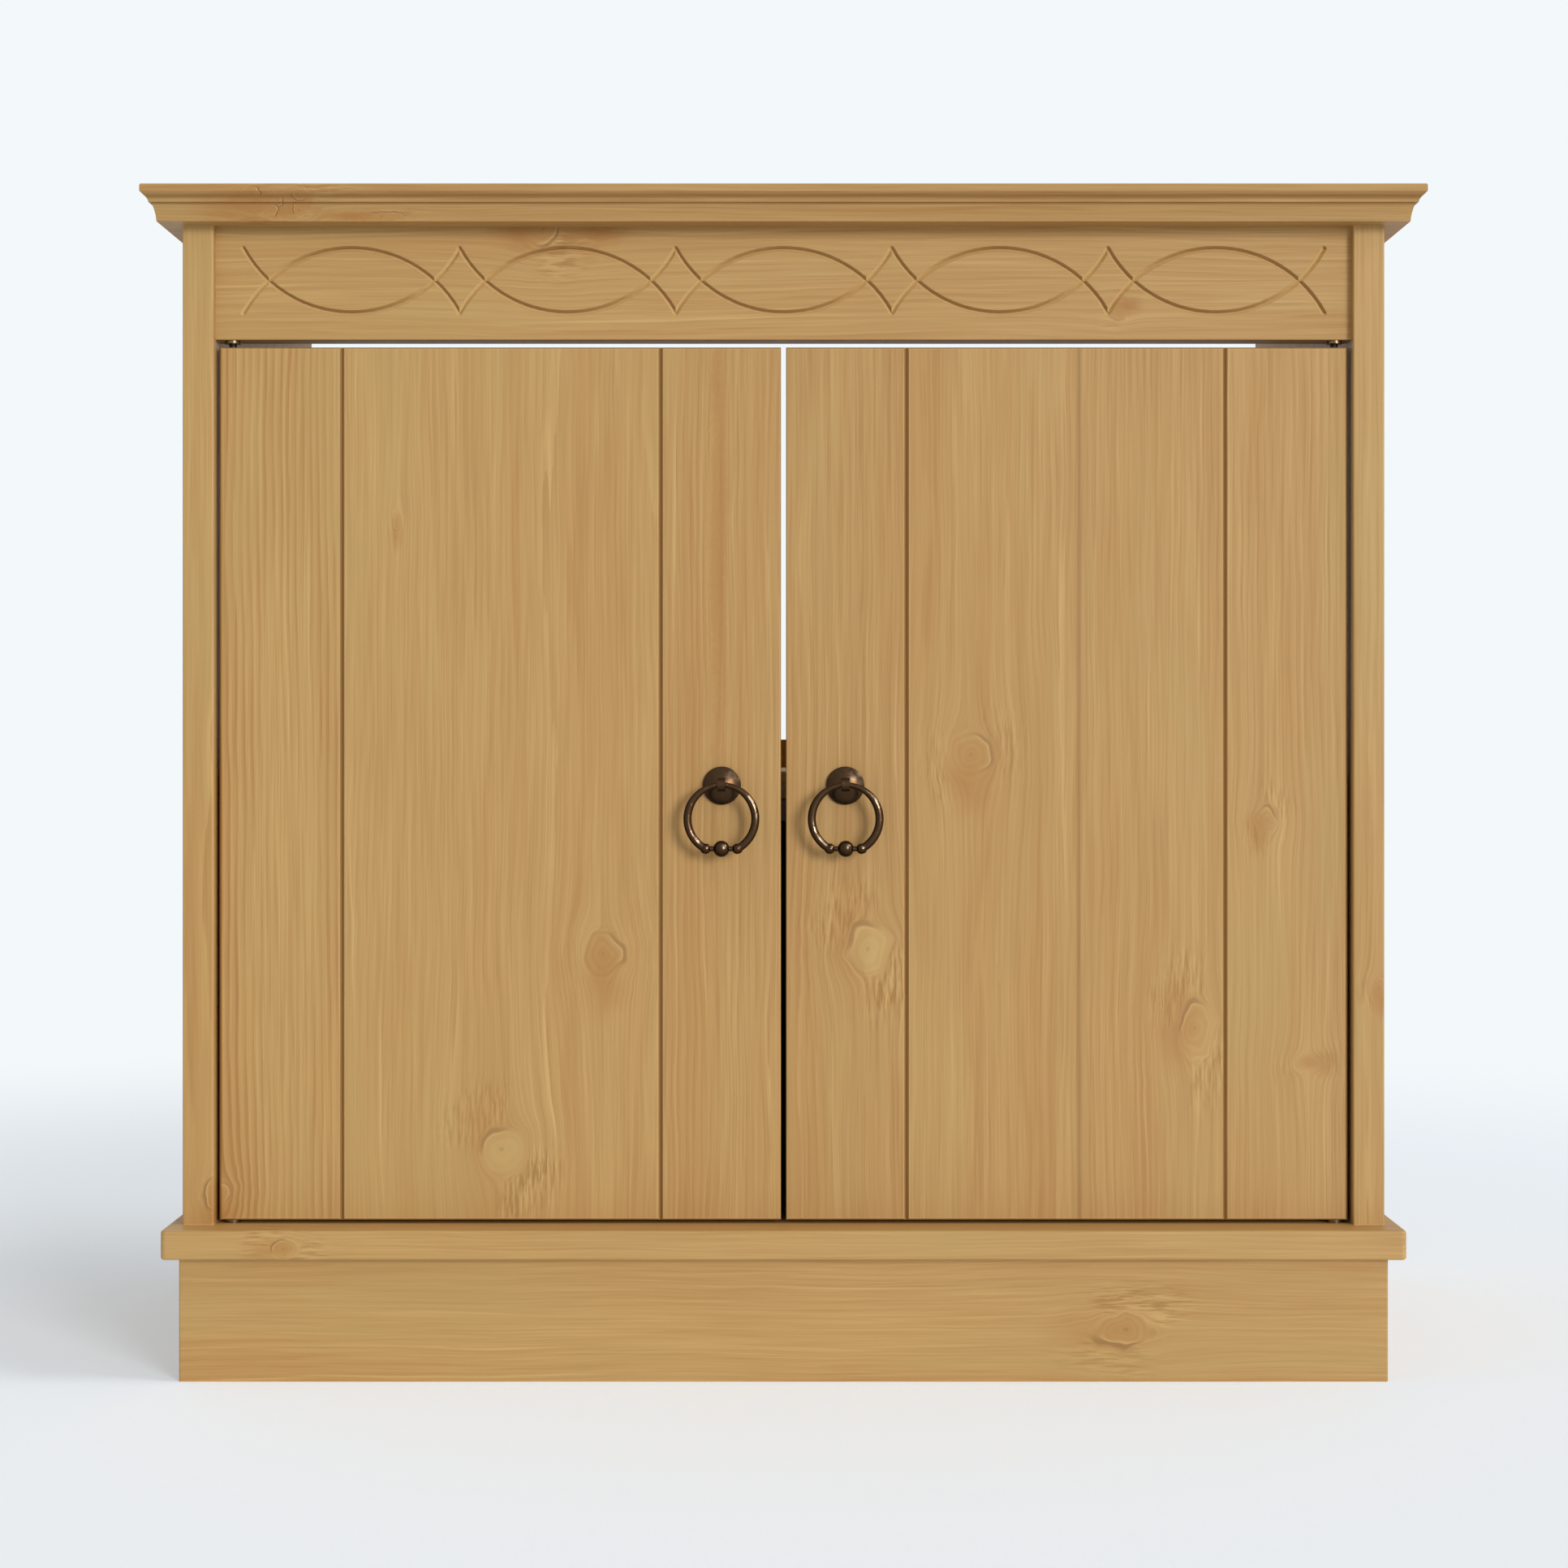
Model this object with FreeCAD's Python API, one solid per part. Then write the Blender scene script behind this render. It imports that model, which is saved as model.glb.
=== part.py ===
import FreeCAD, Part
import math
import os

# Pine vanity unit for the space under a wash basin: a carcass on a plinth, a top board with a
# moulded edge, a carved frieze and two inset board doors that turn on hidden pivots.
# Millimetres, Z up. The front faces -Y, and the origin is on the floor below the middle.

Vector = FreeCAD.Vector
X_AXIS = Vector(1, 0, 0)
Y_AXIS = Vector(0, 1, 0)
Z_AXIS = Vector(0, 0, 1)

# Overall size
WIDTH = 652.0
DEPTH = 330.0
HEIGHT = 608.5

# Boards and overhangs
BOARD = 15.0
SIDE_BOARD = 16.0
TOP_THICK = 18.0
PLINTH_HEIGHT = 63.3
TOP_SIDE_OVERHANG = 18.0
TOP_FRONT_OVERHANG = 19.0
LEDGE_SIDE_OVERHANG = 7.8
LEDGE_FRONT_OVERHANG = 18.0
PLINTH_FRONT_OVERHANG = 9.0
FACE_RECESS = 5.0
EDGE_ROUND = 1.0
LEDGE_ROUND = 1.5
LEDGE_CORNER = 3.0
TOLERANCE = 1e-4

# Moulded edge of the top board, as insets from its outermost face and drops below its top
NOSE_ROUND = 1.0
NOSE_DROP = 3.8
QUIRK_INSET = 1.8
QUIRK_DROP = 5.6
SMALL_COVE_INSET = 3.8
SMALL_COVE_DROP = 8.8
STEP_INSET = 5.0
FOOT_INSET = 7.2
COVE_HOLLOW = 0.45

# Waste-pipe notch in the back of the top board
NOTCH_WIDTH = 180.0
NOTCH_DEPTH = 150.0
NOTCH_ROUND = 35.0

# Frieze and its carving
FRIEZE_HEIGHT = 58.0
FRIEZE_EASE = 0.6
ARC_RADIUS = 63.2
ARC_PITCH = 111.1
ARC_PAIRS = 5
CARVE_DROP = 27.6
GROOVE_WIDTH = 3.0
GROOVE_DEPTH = 1.6
CUTTER_RISE = 0.4

# Doors
DOOR_SIDE_GAP = 1.6
DOOR_TOP_GAP = 3.8
DOOR_BOTTOM_GAP = 1.8
DOOR_MEETING_GAP = 2.6
INNER_JOINT = 63.2
OUTER_JOINT = 227.0
V_CHAMFER = 1.35
TONGUE_THICK = 5.0
TONGUE_LENGTH = 6.0
TONGUE_PLAY = 0.3
HINGE_ARRIS = 2.2
DOOR_EASE = 0.8

# Door battens
BATTEN_HEIGHT = 46.0
BATTEN_THICK = 14.0
BATTEN_BEVEL = 4.0
BATTEN_START = 18.0
BATTEN_END = 268.0
BATTEN_FROM_END = 70.0
BATTEN_SCREW_X = (40.0, 110.0, 180.0, 248.0)
BATTEN_SCREW_STAGGER = 10.0

# Pivots
PIVOT_FROM_EDGE = 6.5
PIVOT_FROM_FACE = 5.2
PIN_RADIUS = 2.0
PIN_PLAY = 0.05
PIN_IN_DOOR = 30.0
PIN_END_GAP = 0.7
BUSH_RADIUS = 3.2
BUSH_LENGTH = 12.0
FLANGE_RADIUS = 4.2
LOWER_FLANGE = 1.7
UPPER_FLANGE = 1.5

# Inside
SHELF_TOP = 310.5
SHELF_FRONT_GAP = 4.5
SHELF_PLAY = 0.5
CLEAT = 15.0
CLEAT_FRONT_SETBACK = 14.0
CLEAT_BACK_SETBACK = 6.0
BACK_RAIL_TOP = 327.5
BACK_RAIL_HEIGHT = 40.0
BACK_PANEL_THICK = 4.0
RABBET_WIDTH = 7.0
BLOCK_SIZE = 32.0
BLOCK_HEIGHT = 50.0

# Dowels
DOWEL_RADIUS = 4.0
DOWEL_SHORT_END = 9.0
DOWEL_LONG_END = 20.0
DOWEL_PLAY = 1.0
DOWEL_ROW_Y = (-110.0, 10.0, 130.0)
FRIEZE_DOWEL_FROM_TOP = 14.0
FRIEZE_DOWEL_FROM_BOTTOM = 21.0
RAIL_DOWEL_FROM_EDGE = 10.0

# Wood screws and nails
SCREW_RADIUS = 1.75
SCREW_HEAD_RADIUS = 3.5
SCREW_HEAD_DROP = 2.0
BATTEN_SCREW_LENGTH = 25.0
CLEAT_SCREW_LENGTH = 26.0
CATCH_SCREW_LENGTH = 12.0
STRIKE_SCREW_LENGTH = 10.0
CLEAT_SCREW_Y = (-80.0, 20.0, 120.0)
NAIL_RADIUS = 0.8
NAIL_LENGTH = 18.0
NAIL_HEAD_RADIUS = 1.8
NAIL_HEAD_THICK = 0.8
NAIL_ROWS = 4
NAIL_EDGE = 3.5
NAIL_MARGIN = 25.0
NAIL_RAIL_X = (-180.0, -60.0, 60.0, 180.0)

# Magnetic catch
CATCH_HALF_WIDTH = 30.0
CATCH_EAR = 12.0
CATCH_EAR_THICK = 2.0
CATCH_HEIGHT = 11.0
CATCH_DEPTH = 16.0
CATCH_GAP = 2.0
CATCH_ROUND = 1.5
MAGNET_X = 16.0
MAGNET_WIDTH = 16.0
MAGNET_HEIGHT = 6.0
MAGNET_DEPTH = 10.0
MAGNET_PROUD = 0.5
STRIKE_WIDTH = 22.0
STRIKE_HEIGHT = 16.0
STRIKE_THICK = 1.2
STRIKE_ROUND = 3.0

# Ring pulls
PULL_X = 31.7
PULL_Z = 303.4
DOME_RADIUS = 9.8
DOME_RIM = 1.4
DOME_HEIGHT = 4.6
EYE_RISE = 0.5
EYE_STANDOFF = 12.0
EYE_RADIUS = 3.6
EYE_WIDTH = 4.0
EYE_BORE = 2.4
RING_RADIUS = 17.3
RING_WIRE = 1.9
FOOT_ANGLE = 28.0
BALL_RADIUS = 4.2
BEAD_RADIUS = 2.75
NECK_RADIUS = 1.4
PULL_SCREW_RADIUS = 2.0
PULL_SCREW_PLAY = 0.3
PULL_SCREW_IN_DOME = 3.5
PULL_HEAD_RADIUS = 4.0
PULL_HEAD_HEIGHT = 2.4
WASHER_RADIUS = 5.5
WASHER_THICK = 0.8

# Planes that follow from the sizes above
TOP_HALF = WIDTH / 2
SIDE_OUT = TOP_HALF - TOP_SIDE_OVERHANG
SIDE_IN = SIDE_OUT - SIDE_BOARD
SIDE_MID = SIDE_OUT - SIDE_BOARD / 2
BACK = DEPTH / 2
FRONT = TOP_FRONT_OVERHANG - BACK
FACE = FRONT + FACE_RECESS
FACE_BACK = FACE + BOARD
TOP_UNDER = HEIGHT - TOP_THICK
LEDGE_TOP = PLINTH_HEIGHT + BOARD
PLINTH_FRONT = FRONT - PLINTH_FRONT_OVERHANG
FRIEZE_BOTTOM = TOP_UNDER - FRIEZE_HEIGHT
CARVE_MID = TOP_UNDER - CARVE_DROP
DOOR_TOP = FRIEZE_BOTTOM - DOOR_TOP_GAP
DOOR_BOTTOM = LEDGE_TOP + DOOR_BOTTOM_GAP
DOOR_OUT = SIDE_IN - DOOR_SIDE_GAP
DOOR_IN = DOOR_MEETING_GAP / 2
PIVOT_X = DOOR_OUT - PIVOT_FROM_EDGE
PIVOT_Y = FACE + PIVOT_FROM_FACE
SHELF_UNDER = SHELF_TOP - BOARD
SHELF_FRONT = FACE_BACK + SHELF_FRONT_GAP
BACK_PANEL_FRONT = BACK - BACK_PANEL_THICK
BACK_RAIL_FRONT = BACK_PANEL_FRONT - BOARD
BACK_RAIL_BOTTOM = BACK_RAIL_TOP - BACK_RAIL_HEIGHT
CATCH_FRONT = FACE_BACK + CATCH_GAP
CATCH_MID_Z = SHELF_UNDER - CATCH_HEIGHT / 2
ARC_SAG = ARC_RADIUS - math.sqrt(ARC_RADIUS**2 - (ARC_PITCH / 2) ** 2)
ARC_HALF_ANGLE = math.degrees(math.asin(ARC_PITCH / 2 / ARC_RADIUS))
EYE_Y = FACE - EYE_STANDOFF
EYE_Z = PULL_Z + EYE_RISE


def block(x_low, x_high, y_low, y_high, z_low, z_high):
    """Return a block between six planes."""
    corner = Vector(x_low, y_low, z_low)
    return Part.makeBox(x_high - x_low, y_high - y_low, z_high - z_low, corner)


def prism(points, sweep):
    """Return the solid that a flat outline makes when it is moved along sweep."""
    outline = Part.makePolygon(points + points[:1])
    return Part.Face(outline).extrude(sweep)


def edges_at(shape, chosen):
    """Return the edges whose ends all pass the test."""
    return [edge for edge in shape.Edges if all(chosen(vertex.Point) for vertex in edge.Vertexes)]


def rounded(shape, radius, chosen):
    """Round the edges whose ends all pass the test."""
    return shape.makeFillet(radius, edges_at(shape, chosen))


def rounded_upright(shape, radius, chosen):
    """Round the upright edges whose ends all pass the test."""
    upright = [edge for edge in edges_at(shape, chosen) if edge.BoundBox.ZLength > BOARD / 2]
    return shape.makeFillet(radius, upright)


def near(value, target):
    """Say whether a coordinate lies on a plane."""
    return abs(value - target) < TOLERANCE


def mirrored(shape):
    """Return the left-hand twin of a right-hand shape."""
    return shape.mirror(Vector(), X_AXIS)


def both_sides(shapes):
    """Return right-hand shapes together with their left-hand twins."""
    return shapes + [mirrored(shape) for shape in shapes]


def save(name, *shapes):
    """Write one node, as one solid or as a group of separate ones."""
    shape = shapes[0] if len(shapes) == 1 else Part.makeCompound(list(shapes))
    shape.exportStep(os.path.join("parts", name + ".step"))


# Fasteners


def dowel(start, direction, length):
    """Return a dowel."""
    return Part.makeCylinder(DOWEL_RADIUS, length, start, direction)


def dowel_bore(start, direction, length):
    """Return the cutter for a dowel's hole, with room for glue at both ends."""
    mouth = start - direction * DOWEL_PLAY
    return Part.makeCylinder(DOWEL_RADIUS, length + 2 * DOWEL_PLAY, mouth, direction)


def wood_screw(head, direction, length):
    """Return a countersunk wood screw whose head's face is at head."""
    neck = head + direction * SCREW_HEAD_DROP
    cone = Part.makeCone(SCREW_HEAD_RADIUS, SCREW_RADIUS, SCREW_HEAD_DROP, head, direction)
    shank = Part.makeCylinder(SCREW_RADIUS, length - SCREW_HEAD_DROP, neck, direction)
    return cone.fuse(shank).removeSplitter()


def nail(head, direction):
    """Return a flat-headed nail."""
    cap = Part.makeCylinder(NAIL_HEAD_RADIUS, NAIL_HEAD_THICK, head, direction)
    shank = Part.makeCylinder(NAIL_RADIUS, NAIL_LENGTH, head, direction)
    return cap.fuse(shank).removeSplitter()


def top_dowel_starts():
    """Return the lower ends of the right-hand dowels under the top board."""
    return [Vector(SIDE_MID, y, TOP_UNDER - DOWEL_LONG_END) for y in DOWEL_ROW_Y]


def base_dowel_starts():
    """Return the lower ends of the right-hand dowels in the base board."""
    return [Vector(SIDE_MID, y, LEDGE_TOP - DOWEL_SHORT_END) for y in DOWEL_ROW_Y]


def frieze_dowel_starts():
    """Return the inner ends of the dowels at the frieze's right-hand end."""
    low = FRIEZE_BOTTOM + FRIEZE_DOWEL_FROM_BOTTOM
    high = TOP_UNDER - FRIEZE_DOWEL_FROM_TOP
    middle = FACE + BOARD / 2
    return [Vector(SIDE_IN - DOWEL_LONG_END, middle, z) for z in (low, high)]


def rail_dowel_starts():
    """Return the inner ends of the dowels at the back rail's right-hand end."""
    low = BACK_RAIL_BOTTOM + RAIL_DOWEL_FROM_EDGE
    high = BACK_RAIL_TOP - RAIL_DOWEL_FROM_EDGE
    middle = BACK_RAIL_FRONT + BOARD / 2
    return [Vector(SIDE_IN - DOWEL_LONG_END, middle, z) for z in (low, high)]


DOWEL_LENGTH = DOWEL_LONG_END + DOWEL_SHORT_END
UPRIGHT_BORES = [dowel_bore(p, Z_AXIS, DOWEL_LENGTH) for p in top_dowel_starts() + base_dowel_starts()]
LEVEL_BORES = [dowel_bore(p, X_AXIS, DOWEL_LENGTH) for p in frieze_dowel_starts() + rail_dowel_starts()]


def cleat_screws():
    """Return the screws that hold the right-hand cleat to its side panel."""
    z = SHELF_UNDER - CLEAT / 2
    return [wood_screw(Vector(SIDE_IN - CLEAT, y, z), X_AXIS, CLEAT_SCREW_LENGTH) for y in CLEAT_SCREW_Y]


def catch_screws():
    """Return the screws that hold the catch under the shelf."""
    z = SHELF_UNDER - CATCH_EAR_THICK
    y = CATCH_FRONT + CATCH_DEPTH / 2
    x = CATCH_HALF_WIDTH + CATCH_EAR / 2
    return both_sides([wood_screw(Vector(x, y, z), Z_AXIS, CATCH_SCREW_LENGTH)])


def back_nails():
    """Return the nails of the back panel: up both sides and along the back rail."""
    span = BACK_RAIL_TOP - LEDGE_TOP - 2 * NAIL_MARGIN
    heights = [LEDGE_TOP + NAIL_MARGIN + span * i / (NAIL_ROWS - 1) for i in range(NAIL_ROWS)]
    upright = [nail(Vector(SIDE_IN + NAIL_EDGE, BACK, z), -Y_AXIS) for z in heights]
    rail_z = (BACK_RAIL_TOP + BACK_RAIL_BOTTOM) / 2
    return both_sides(upright) + [nail(Vector(x, BACK, rail_z), -Y_AXIS) for x in NAIL_RAIL_X]


# Carcass


def moulded_edge(place):
    """Return the moulding's edges from top to bottom; place maps an inset and a drop to a point."""
    round_middle = NOSE_ROUND * (1 - math.cos(math.radians(45)))
    small_hollow = ((QUIRK_INSET + SMALL_COVE_INSET) / 2 + COVE_HOLLOW, (QUIRK_DROP + SMALL_COVE_DROP) / 2)
    large_hollow = ((STEP_INSET + FOOT_INSET) / 2 + COVE_HOLLOW, (SMALL_COVE_DROP + TOP_THICK) / 2)
    crown = place(NOSE_ROUND, 0)
    nose = place(0, NOSE_ROUND)
    lip = place(0, NOSE_DROP)
    quirk = place(QUIRK_INSET, QUIRK_DROP)
    bead = place(SMALL_COVE_INSET, SMALL_COVE_DROP)
    step = place(STEP_INSET, SMALL_COVE_DROP)
    foot = place(FOOT_INSET, TOP_THICK)
    return [
        Part.Arc(crown, place(round_middle, round_middle), nose).toShape(),
        Part.LineSegment(nose, lip).toShape(),
        Part.LineSegment(lip, quirk).toShape(),
        Part.Arc(quirk, place(*small_hollow), bead).toShape(),
        Part.LineSegment(bead, step).toShape(),
        Part.Arc(step, place(*large_hollow), foot).toShape(),
    ]


def top_board():
    """Return the top board: its moulding meets in mitres where a long and a cross section intersect."""

    def on_front(inset, drop):
        return Vector(-TOP_HALF, inset - BACK, HEIGHT - drop)

    def on_right(inset, drop):
        return Vector(TOP_HALF - inset, -BACK, HEIGHT - drop)

    def on_left(inset, drop):
        return Vector(inset - TOP_HALF, -BACK, HEIGHT - drop)

    back_top = Vector(-TOP_HALF, BACK, HEIGHT)
    back_foot = Vector(-TOP_HALF, BACK, TOP_UNDER)
    long_edges = moulded_edge(on_front)
    long_edges += [
        Part.LineSegment(on_front(FOOT_INSET, TOP_THICK), back_foot).toShape(),
        Part.LineSegment(back_foot, back_top).toShape(),
        Part.LineSegment(back_top, on_front(NOSE_ROUND, 0)).toShape(),
    ]
    cross_edges = moulded_edge(on_right) + moulded_edge(on_left)
    cross_edges += [
        Part.LineSegment(on_left(NOSE_ROUND, 0), on_right(NOSE_ROUND, 0)).toShape(),
        Part.LineSegment(on_left(FOOT_INSET, TOP_THICK), on_right(FOOT_INSET, TOP_THICK)).toShape(),
    ]
    long_section = Part.Face(Part.Wire(Part.__sortEdges__(long_edges)))
    cross_section = Part.Face(Part.Wire(Part.__sortEdges__(cross_edges)))
    board = long_section.extrude(X_AXIS * WIDTH).common(cross_section.extrude(Y_AXIS * DEPTH))
    half = NOTCH_WIDTH / 2
    notch_end = BACK - NOTCH_DEPTH
    notch = block(-half, half, notch_end, BACK + BOARD, TOP_UNDER - BOARD, HEIGHT + BOARD)
    notch = rounded_upright(notch, NOTCH_ROUND, lambda p: near(p.y, notch_end))
    return board.cut([notch] + both_sides(UPRIGHT_BORES))


def side_panel():
    """Return the right-hand side panel."""
    panel = block(SIDE_IN, SIDE_OUT, FRONT, BACK, LEDGE_TOP, TOP_UNDER)
    panel = rounded_upright(panel, EDGE_ROUND, lambda p: near(p.y, FRONT))
    rabbet = block(SIDE_IN, SIDE_IN + RABBET_WIDTH, BACK_PANEL_FRONT, BACK, LEDGE_TOP, BACK_RAIL_TOP)
    return panel.cut([rabbet] + UPRIGHT_BORES + LEVEL_BORES + cleat_screws() + back_nails())


def base_board():
    """Return the base board, whose rounded front shows as a ledge."""
    half = SIDE_OUT + LEDGE_SIDE_OVERHANG
    front = FRONT - LEDGE_FRONT_OVERHANG
    board = block(-half, half, front, BACK, PLINTH_HEIGHT, LEDGE_TOP)
    board = rounded_upright(board, LEDGE_CORNER, lambda p: near(p.y, front))
    rims = edges_at(board, lambda p: near(p.z, PLINTH_HEIGHT))
    rims += edges_at(board, lambda p: near(p.z, LEDGE_TOP))
    seen = [edge for edge in rims if not all(near(vertex.Y, BACK) for vertex in edge.Vertexes)]
    board = board.makeFillet(LEDGE_ROUND, seen)
    return board.cut(both_sides(UPRIGHT_BORES + [lower_bush_body()]))


def carving_cutters():
    """Return the V-shaped cutters of the carved arcs, with pointed ends."""
    half_width = GROOVE_WIDTH / 2 * (1 + CUTTER_RISE / GROOVE_DEPTH)
    mouth = FACE - CUTTER_RISE
    bottom = FACE + GROOVE_DEPTH
    first = -ARC_PITCH * (ARC_PAIRS - 1) / 2
    cutters = []
    for side in (1, -1):
        centre_z = CARVE_MID + side * (ARC_SAG / 2 - ARC_RADIUS)
        for i in range(ARC_PAIRS):
            x = first + i * ARC_PITCH
            centre = Vector(x, FACE, centre_z)
            inner = Vector(x, mouth, centre_z + side * (ARC_RADIUS - half_width))
            outer = Vector(x, mouth, centre_z + side * (ARC_RADIUS + half_width))
            deep = Vector(x, bottom, centre_z + side * ARC_RADIUS)
            section = Part.Face(Part.makePolygon([inner, outer, deep, inner]))
            section.rotate(centre, Y_AXIS, -ARC_HALF_ANGLE)
            cutters.append(section.revolve(centre, Y_AXIS, 2 * ARC_HALF_ANGLE))
        for i in range(ARC_PAIRS + 1):
            x = first + (i - 0.5) * ARC_PITCH
            tip = Vector(x, mouth, CARVE_MID - side * ARC_SAG / 2)
            cutters.append(Part.makeCone(half_width, 0, bottom - mouth, tip, Y_AXIS))
    return cutters


def frieze_rail():
    """Return the frieze rail with its carved arcs."""
    rail = block(-SIDE_IN, SIDE_IN, FACE, FACE_BACK, FRIEZE_BOTTOM, TOP_UNDER)
    rail = rounded(rail, FRIEZE_EASE, lambda p: near(p.y, FACE) and near(p.z, FRIEZE_BOTTOM))
    rail = rail.cut(both_sides(LEVEL_BORES + [upper_bush_body()]))
    for cutter in carving_cutters():
        rail = rail.cut(cutter)
    return rail


def shelf():
    """Return the shelf, with rounded front edges."""
    half = SIDE_IN - SHELF_PLAY
    board = block(-half, half, SHELF_FRONT, BACK_RAIL_FRONT, SHELF_UNDER, SHELF_TOP)
    board = rounded(board, LEDGE_ROUND, lambda p: near(p.y, SHELF_FRONT))
    return board.cut(catch_screws())


def shelf_cleat():
    """Return the right-hand cleat under the shelf."""
    front = SHELF_FRONT + CLEAT_FRONT_SETBACK
    back = BACK_RAIL_FRONT - CLEAT_BACK_SETBACK
    inner = SIDE_IN - CLEAT
    foot = SHELF_UNDER - CLEAT
    cleat = block(inner, SIDE_IN, front, back, foot, SHELF_UNDER)
    cleat = rounded(cleat, EDGE_ROUND, lambda p: near(p.x, inner) and near(p.z, foot))
    return cleat.cut(cleat_screws())


def back_rail():
    """Return the rail across the back at shelf height."""
    rail = block(-SIDE_IN, SIDE_IN, BACK_RAIL_FRONT, BACK_PANEL_FRONT, BACK_RAIL_BOTTOM, BACK_RAIL_TOP)
    return rail.cut(both_sides(LEVEL_BORES) + back_nails())


def back_panel():
    """Return the thin panel that closes the back below the rail's top."""
    half = SIDE_IN + RABBET_WIDTH
    panel = block(-half, half, BACK_PANEL_FRONT, BACK, LEDGE_TOP, BACK_RAIL_TOP)
    return panel.cut(back_nails())


def plinth_front():
    """Return the plinth's front board."""
    board = block(-SIDE_OUT, SIDE_OUT, PLINTH_FRONT, PLINTH_FRONT + BOARD, 0, PLINTH_HEIGHT)
    return rounded_upright(board, EDGE_ROUND, lambda p: near(p.y, PLINTH_FRONT))


def plinth_side():
    """Return the plinth's right-hand board."""
    return block(SIDE_IN, SIDE_OUT, PLINTH_FRONT + BOARD, BACK, 0, PLINTH_HEIGHT)


def plinth_back():
    """Return the plinth's back board."""
    return block(-SIDE_IN, SIDE_IN, BACK - BOARD, BACK, 0, PLINTH_HEIGHT)


def plinth_blocks():
    """Return the three-cornered glue blocks inside the plinth's corners."""
    low = PLINTH_HEIGHT - BLOCK_HEIGHT
    front = PLINTH_FRONT + BOARD
    back = BACK - BOARD
    rise = Z_AXIS * BLOCK_HEIGHT
    blocks = []
    for y, inward in ((front, 1), (back, -1)):
        corner = Vector(SIDE_IN, y, low)
        along = Vector(SIDE_IN - BLOCK_SIZE, y, low)
        across = Vector(SIDE_IN, y + inward * BLOCK_SIZE, low)
        blocks.append(prism([corner, along, across], rise))
    return both_sides(blocks)


# Pivots


def lower_bush_body():
    """Return the outside of the right-hand lower bush."""
    barrel_foot = Vector(PIVOT_X, PIVOT_Y, LEDGE_TOP - BUSH_LENGTH)
    barrel = Part.makeCylinder(BUSH_RADIUS, BUSH_LENGTH, barrel_foot)
    flange = Part.makeCylinder(FLANGE_RADIUS, LOWER_FLANGE, Vector(PIVOT_X, PIVOT_Y, LEDGE_TOP))
    return barrel.fuse(flange).removeSplitter()


def upper_bush_body():
    """Return the outside of the right-hand upper bush."""
    barrel = Part.makeCylinder(BUSH_RADIUS, BUSH_LENGTH, Vector(PIVOT_X, PIVOT_Y, FRIEZE_BOTTOM))
    flange_foot = Vector(PIVOT_X, PIVOT_Y, FRIEZE_BOTTOM - UPPER_FLANGE)
    flange = Part.makeCylinder(FLANGE_RADIUS, UPPER_FLANGE, flange_foot)
    return barrel.fuse(flange).removeSplitter()


def pivot_bushes():
    """Return the four flanged bushes that carry the doors."""
    bore = Part.makeCylinder(PIN_RADIUS + PIN_PLAY, HEIGHT, Vector(PIVOT_X, PIVOT_Y, 0))
    return both_sides([lower_bush_body().cut(bore), upper_bush_body().cut(bore)])


def pivot_pins():
    """Return the right-hand door's lower and upper pins."""
    low_end = LEDGE_TOP - BUSH_LENGTH + PIN_END_GAP
    high_end = FRIEZE_BOTTOM + BUSH_LENGTH - PIN_END_GAP
    lower = Part.makeCylinder(
        PIN_RADIUS, DOOR_BOTTOM + PIN_IN_DOOR - low_end, Vector(PIVOT_X, PIVOT_Y, low_end)
    )
    upper_foot = DOOR_TOP - PIN_IN_DOOR
    upper = Part.makeCylinder(PIN_RADIUS, high_end - upper_foot, Vector(PIVOT_X, PIVOT_Y, upper_foot))
    return [lower, upper]


# Magnetic catch


def catch_housing():
    """Return the catch's housing with its two magnet pockets and two ears."""
    foot = SHELF_UNDER - CATCH_HEIGHT
    body = block(
        -CATCH_HALF_WIDTH, CATCH_HALF_WIDTH, CATCH_FRONT, CATCH_FRONT + CATCH_DEPTH, foot, SHELF_UNDER
    )
    body = rounded(body, CATCH_ROUND, lambda p: near(p.z, foot))
    reach = CATCH_HALF_WIDTH + CATCH_EAR
    ears = block(
        -reach, reach, CATCH_FRONT + CATCH_ROUND, CATCH_FRONT + CATCH_DEPTH - CATCH_ROUND,
        SHELF_UNDER - CATCH_EAR_THICK, SHELF_UNDER,
    )
    return body.fuse(ears).removeSplitter().cut(both_sides([catch_magnet()]) + catch_screws())


def catch_magnet():
    """Return the right-hand magnet, which stands a little proud of the housing."""
    front = CATCH_FRONT - MAGNET_PROUD
    return block(
        MAGNET_X - MAGNET_WIDTH / 2, MAGNET_X + MAGNET_WIDTH / 2, front, front + MAGNET_DEPTH,
        CATCH_MID_Z - MAGNET_HEIGHT / 2, CATCH_MID_Z + MAGNET_HEIGHT / 2,
    )


def strike_screw():
    """Return the screw of the right-hand strike plate."""
    return wood_screw(Vector(MAGNET_X, FACE_BACK + STRIKE_THICK, CATCH_MID_Z), -Y_AXIS, STRIKE_SCREW_LENGTH)


def strike_plate():
    """Return the right-hand strike plate, with rounded corners."""
    plate = block(
        MAGNET_X - STRIKE_WIDTH / 2, MAGNET_X + STRIKE_WIDTH / 2, FACE_BACK, FACE_BACK + STRIKE_THICK,
        CATCH_MID_Z - STRIKE_HEIGHT / 2, CATCH_MID_Z + STRIKE_HEIGHT / 2,
    )
    corners = [edge for edge in plate.Edges if near(edge.BoundBox.YLength, STRIKE_THICK)]
    return plate.makeFillet(STRIKE_ROUND, corners).cut(strike_screw())


# Doors, made for the right-hand side


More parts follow.
